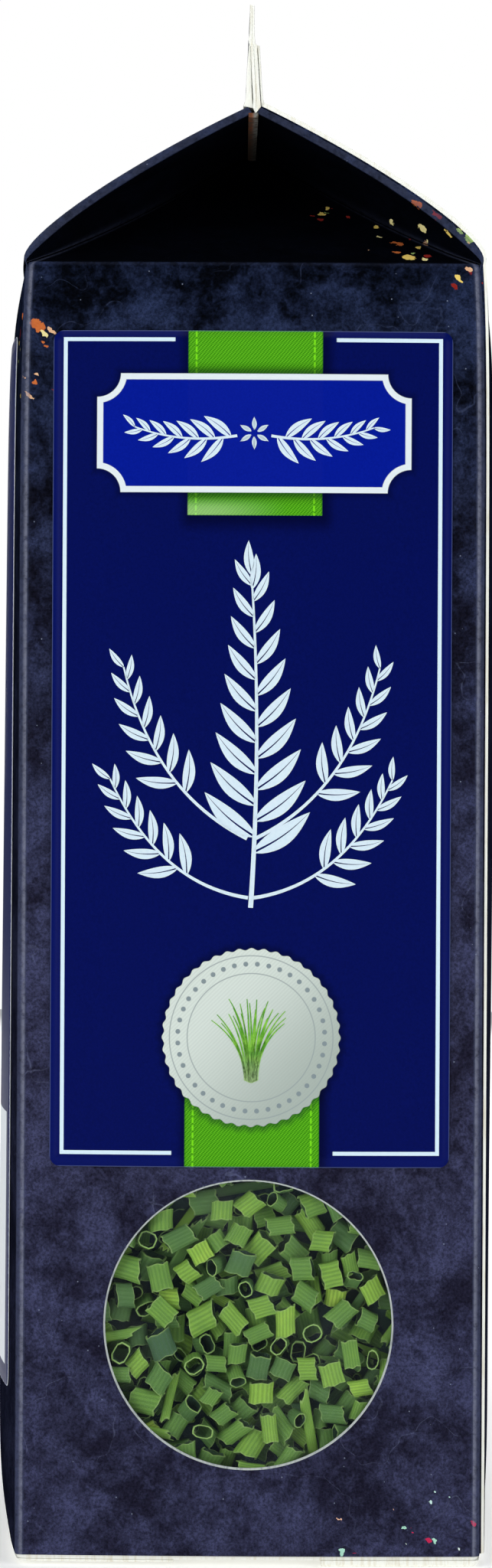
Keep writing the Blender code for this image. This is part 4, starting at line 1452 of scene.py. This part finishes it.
def cut_tube(number):
    draw = random.Random(60 + number)
    boxy = draw.choice((2.0, 2.5, 3.2, 4.0))
    slant, dent = draw.uniform(-0.30, 0.30), draw.choice((0.0, 0.0, 0.22, 0.35))
    dent_at = draw.uniform(0, math.tau)
    bm = bmesh.new()
    uv = bm.loops.layers.uv.new("UVMap")

    def vert(wall, k, i):
        a = math.tau * i / TUBE_SIDES
        r = (abs(math.cos(a)) ** boxy + abs(math.sin(a)) ** boxy) ** (-1 / boxy)
        r *= 1 - dent * max(math.cos(a - dent_at), 0) ** 4
        r = r * wall * (1 - 0.05 * math.sin(math.pi * k / 2))
        torn = 0.0 if k == 1 else 0.045 * math.sin(i * 2.4 + number + k)
        return bm.verts.new((r * math.cos(a), r * math.sin(a), k / 2 - 0.5 + slant * r * math.sin(a) * 0.5 + torn))

    def face(corners, places):
        made = bm.faces.new(corners)
        for loop, place in zip(made.loops, places):
            loop[uv].uv = place

    outer, inner = ([[vert(wall, k, i) for i in range(TUBE_SIDES)] for k in range(3)] for wall in (1.0, 0.85))
    for i in range(TUBE_SIDES):
        j = (i + 1) % TUBE_SIDES
        a, b = i / TUBE_SIDES, (i + 1) / TUBE_SIDES
        for k in range(2):
            for rings, p, q, v in ((outer, i, j, 0), (inner, j, i, 2)):
                start, end = (a, b) if rings is outer else (b, a)
                low, high = k / 2 + v, (k + 1) / 2 + v
                corners = (rings[k][p], rings[k][q], rings[k + 1][q], rings[k + 1][p])
                face(corners, ((start, low), (end, low), (end, high), (start, high)))
        face((outer[2][i], outer[2][j], inner[2][j], inner[2][i]), ((a, 5), (b, 5), (b, 5), (a, 5)))
        face((outer[0][j], outer[0][i], inner[0][i], inner[0][j]), ((b, 5), (a, 5), (a, 5), (b, 5)))
    return as_mesh(f"tube_{number:02d}", bm, 50)


for number in range(TUBE_KINDS):
    tubes.objects.link(bpy.data.objects.new(f"tube_{number:02d}", cut_tube(number)))

# %% Setting the tubes
STRIP_FLATNESS, TONE, YELLOWED, YELLOWED_CHANCE = 0.45, (0.44, 0.17), 0.4, 0.03


def heap_points(pieces):
    """One point for each piece, which carries its turn, size, kind and tone."""
    draw = random.Random(5)
    mesh = bpy.data.meshes.new("heap_points")
    places = [piece_place(piece) for piece in pieces]
    mesh.from_pydata([place.translation for place in places], [], [])
    for name, kind in (("turn", "FLOAT_VECTOR"), ("size", "FLOAT_VECTOR"), ("kind", "INT"), ("tone", "FLOAT")):
        mesh.attributes.new(name, kind, "POINT")
    turns, sizes, kinds, tones = (mesh.attributes[name] for name in ("turn", "size", "kind", "tone"))
    for i, (piece, place) in enumerate(zip(pieces, places)):
        turns.data[i].vector = place.to_euler("XYZ")
        deep = STRIP_FLATNESS if piece["kind"] == "strip" else 1.0
        sizes.data[i].vector = (piece["half_deep"] * deep, piece["half_wide"], piece["length"])
        kinds.data[i].value = draw.randrange(TUBE_KINDS)
        tones.data[i].value = min(max(draw.gauss(*TONE) + (YELLOWED if draw.random() < YELLOWED_CHANCE else 0), 0), 1)
    return mesh


def tubes_on_points():
    """Sets a tube on each point, by the kind, turn and size that the point carries."""
    inputs = (("Tubes", "Collection"), ("Width", "Float"), ("Finish", "Material"))
    lay = Growth("set_tubes", "Points", inputs, "Heap")

    def carried(name, kind):
        node = lay.node("GeometryNodeInputNamedAttribute", {"data_type": kind}, {"Name": name}).socket.node
        return Wire(lay, next(socket for socket in node.outputs if socket.enabled))

    chosen = {"Collection": lay.asked("Tubes"), "Separate Children": True, "Reset Children": True}
    resized = {0: carried("size", "FLOAT_VECTOR"), "Scale": lay.asked("Width")}
    lay.set_shapes(
        "Finish",
        Points=lay.asked("Points"),
        Instance=lay.node("GeometryNodeCollectionInfo", sockets=chosen),
        Pick_Instance=True,
        Instance_Index=carried("kind", "INT"),
        Rotation=carried("turn", "FLOAT_VECTOR"),
        Scale=lay.node("ShaderNodeVectorMath", {"operation": "SCALE"}, resized),
    )
    return lay


chive = Finish("dried_chive", roughness=0.55, specular=0.15)
spot = chive.node("ShaderNodeUVMap", {"uv_map": "UVMap"})
around, along, _ = chive.split(spot)
tone = chive.attribute("tone") + (chive.noise(2.2, 2) - 0.5) * 0.25
greens = [
    (0.0, ink(70, 100, 76)), (0.30, ink(92, 130, 72)), (0.55, ink(116, 160, 70)), (0.80, ink(152, 196, 74)),
    (1.0, ink(196, 226, 92)),
]
green = chive.node("ShaderNodeValToRGB", {"stops": greens}, {0: tone})
rib = (around * (math.tau * 18)).math("SINE") * 0.5 + 0.5
green = chive.mix(rib * 0.34 + chive.noise(0.35, 3) * 0.2, green, ink(60, 96, 44))
outside = chive.step(along, 1.5, 1.4)
# the pale line near each cut end: partly the cut's own colour, partly painted highlight
lip_pale_and_highlight = chive.step(abs(along - 0.5), 0.445, 0.49) * outside
green = chive.mix(lip_pale_and_highlight * 0.45, green, ink(164, 192, 120))
# painted shade inside the hollow of each tube
green = chive.mix(chive.step(along, 1.5, 1.6) * chive.step(along, 4.0, 3.9) * 0.75, green, ink(34, 52, 54))
# the cut ends are paler: partly their own colour, partly painted highlight
green = chive.mix(chive.step(along, 4.2, 4.4), green, ink(138, 172, 98))
chive.put("Base Color", green)
chive.put("Roughness", 0.5 + chive.noise(0.8) * 0.2)
chive.bump(rib * 0.5 + chive.noise(0.3, 3) * 0.5, 0.03, 0.5)

TUBE_WIDTH = 0.97
heap_values = {"Tubes": tubes, "Width": TUBE_WIDTH, "Finish": chive.material}
heap_mesh = tubes_on_points().run(heap_points(heap), heap_values)
heap_mesh.materials.clear()
new_piece("chopped_pieces", heap_mesh, (chive.material,), ("chopped_chives",))
print("heap:", len(heap_mesh.polygons), "faces")

# %% [markdown]
# Behind the single pieces, the rest of the filling is one solid with a rough surface, dark because little light
# reaches it. It is drawn in from the walls, and pushed back behind the window to leave room for the heap.

# %% Filling
FILLING_LOW_Z, FILLING_TOP_Z, FILLING_GAP, FILLING_CORNER = 0.0035, 0.176, 0.0012, 0.002
POCKET_DEPTH, POCKET_REACH = 0.0062, 0.0265


def filling():
    rings = []
    for i in range(91):
        z = FILLING_LOW_Z + (FILLING_TOP_Z - FILLING_LOW_Z) * i / 90
        half = half_side(z) - FILLING_GAP
        ring = carton_ring(z, half, half, FILLING_CORNER, SIDE_BELLY * fullness(z), FRONT_BELLY * fullness(z))[0]
        pushed = []
        for x, y, up in ring:
            away = math.hypot(x, up - WINDOW_Z) / POCKET_REACH
            if y < 0:
                y += POCKET_DEPTH * math.exp(-(away**6))
            pushed.append((x, y, up))
        rings.append(pushed)
    for share in (0.9, 0.7, 0.45, 0.2):
        z = FILLING_TOP_Z + 0.006 * (1 - share * share)
        top = (half_side(FILLING_TOP_Z) - FILLING_GAP) * share
        push = SIDE_BELLY * fullness(FILLING_TOP_Z) * share
        rings.append(carton_ring(z, top, top, FILLING_CORNER * share, push, 0)[0])
    return as_mesh("filling", loft(rings))


mass = Finish("chive_mass", roughness=0.8, specular=0.1)
lump_distance, lump_colour = mass.cells(2.4)
# painted shade: the filling is given a dark green because little light reaches it
shade_painted_green = mass.mix(mass.step(mass.split(lump_colour)[0], 0.3, 0.9), ink(30, 46, 56), ink(42, 64, 60))
mass.put("Base Color", shade_painted_green)
mass.bump(1 - lump_distance, 0.8, 0.8)
core = new_piece("filling", filling(), (mass.material,))
print("filling:", len(core.data.polygons), "faces")

# %% [markdown]
# ## Film
#
# A clear film is glued behind the window. It is nearly invisible: it adds a trace of haze and a soft gloss.

# %% Window film
film = Finish("clear_film", roughness=0.10, specular=0.4)
film.put("Base Color", film.mix(film.step(film.noise(16, 2), 0.4, 0.6), ink(150, 172, 182), ink(196, 210, 214)))
film.put("Alpha", 0.006 + film.step(film.noise(14, 3, 0.6), 0.42, 0.7) * 0.010)
film.bump(film.noise(9, 2), 0.05, 0.3)
FILM_IN, FILM_WIDTH, FILM_HALF_HEIGHT, FILM_CORNER = BOARD + GLUE_GAP + FILM_THICKNESS, 0.054, 0.026, 0.004


def on_film(x, z):
    return (x, front_wall_y(x, z, FILM_IN), z)


film_ends = (WINDOW_Z - FILM_HALF_HEIGHT, WINDOW_Z + FILM_HALF_HEIGHT)
film_mesh = sheet_on_wall("film", on_film, FILM_WIDTH, *film_ends, FILM_CORNER, 36, 36)
add_thickness(new_piece("film", film_mesh, (film.material,), ("window_film",)), FILM_THICKNESS)
print("film:", len(film_mesh.polygons), "faces")

# the leaf and the tubes were only patterns for Geometry Nodes
bpy.data.objects.remove(leaf)
for pattern in list(tubes.objects):
    bpy.data.objects.remove(pattern)
bpy.data.collections.remove(tubes)
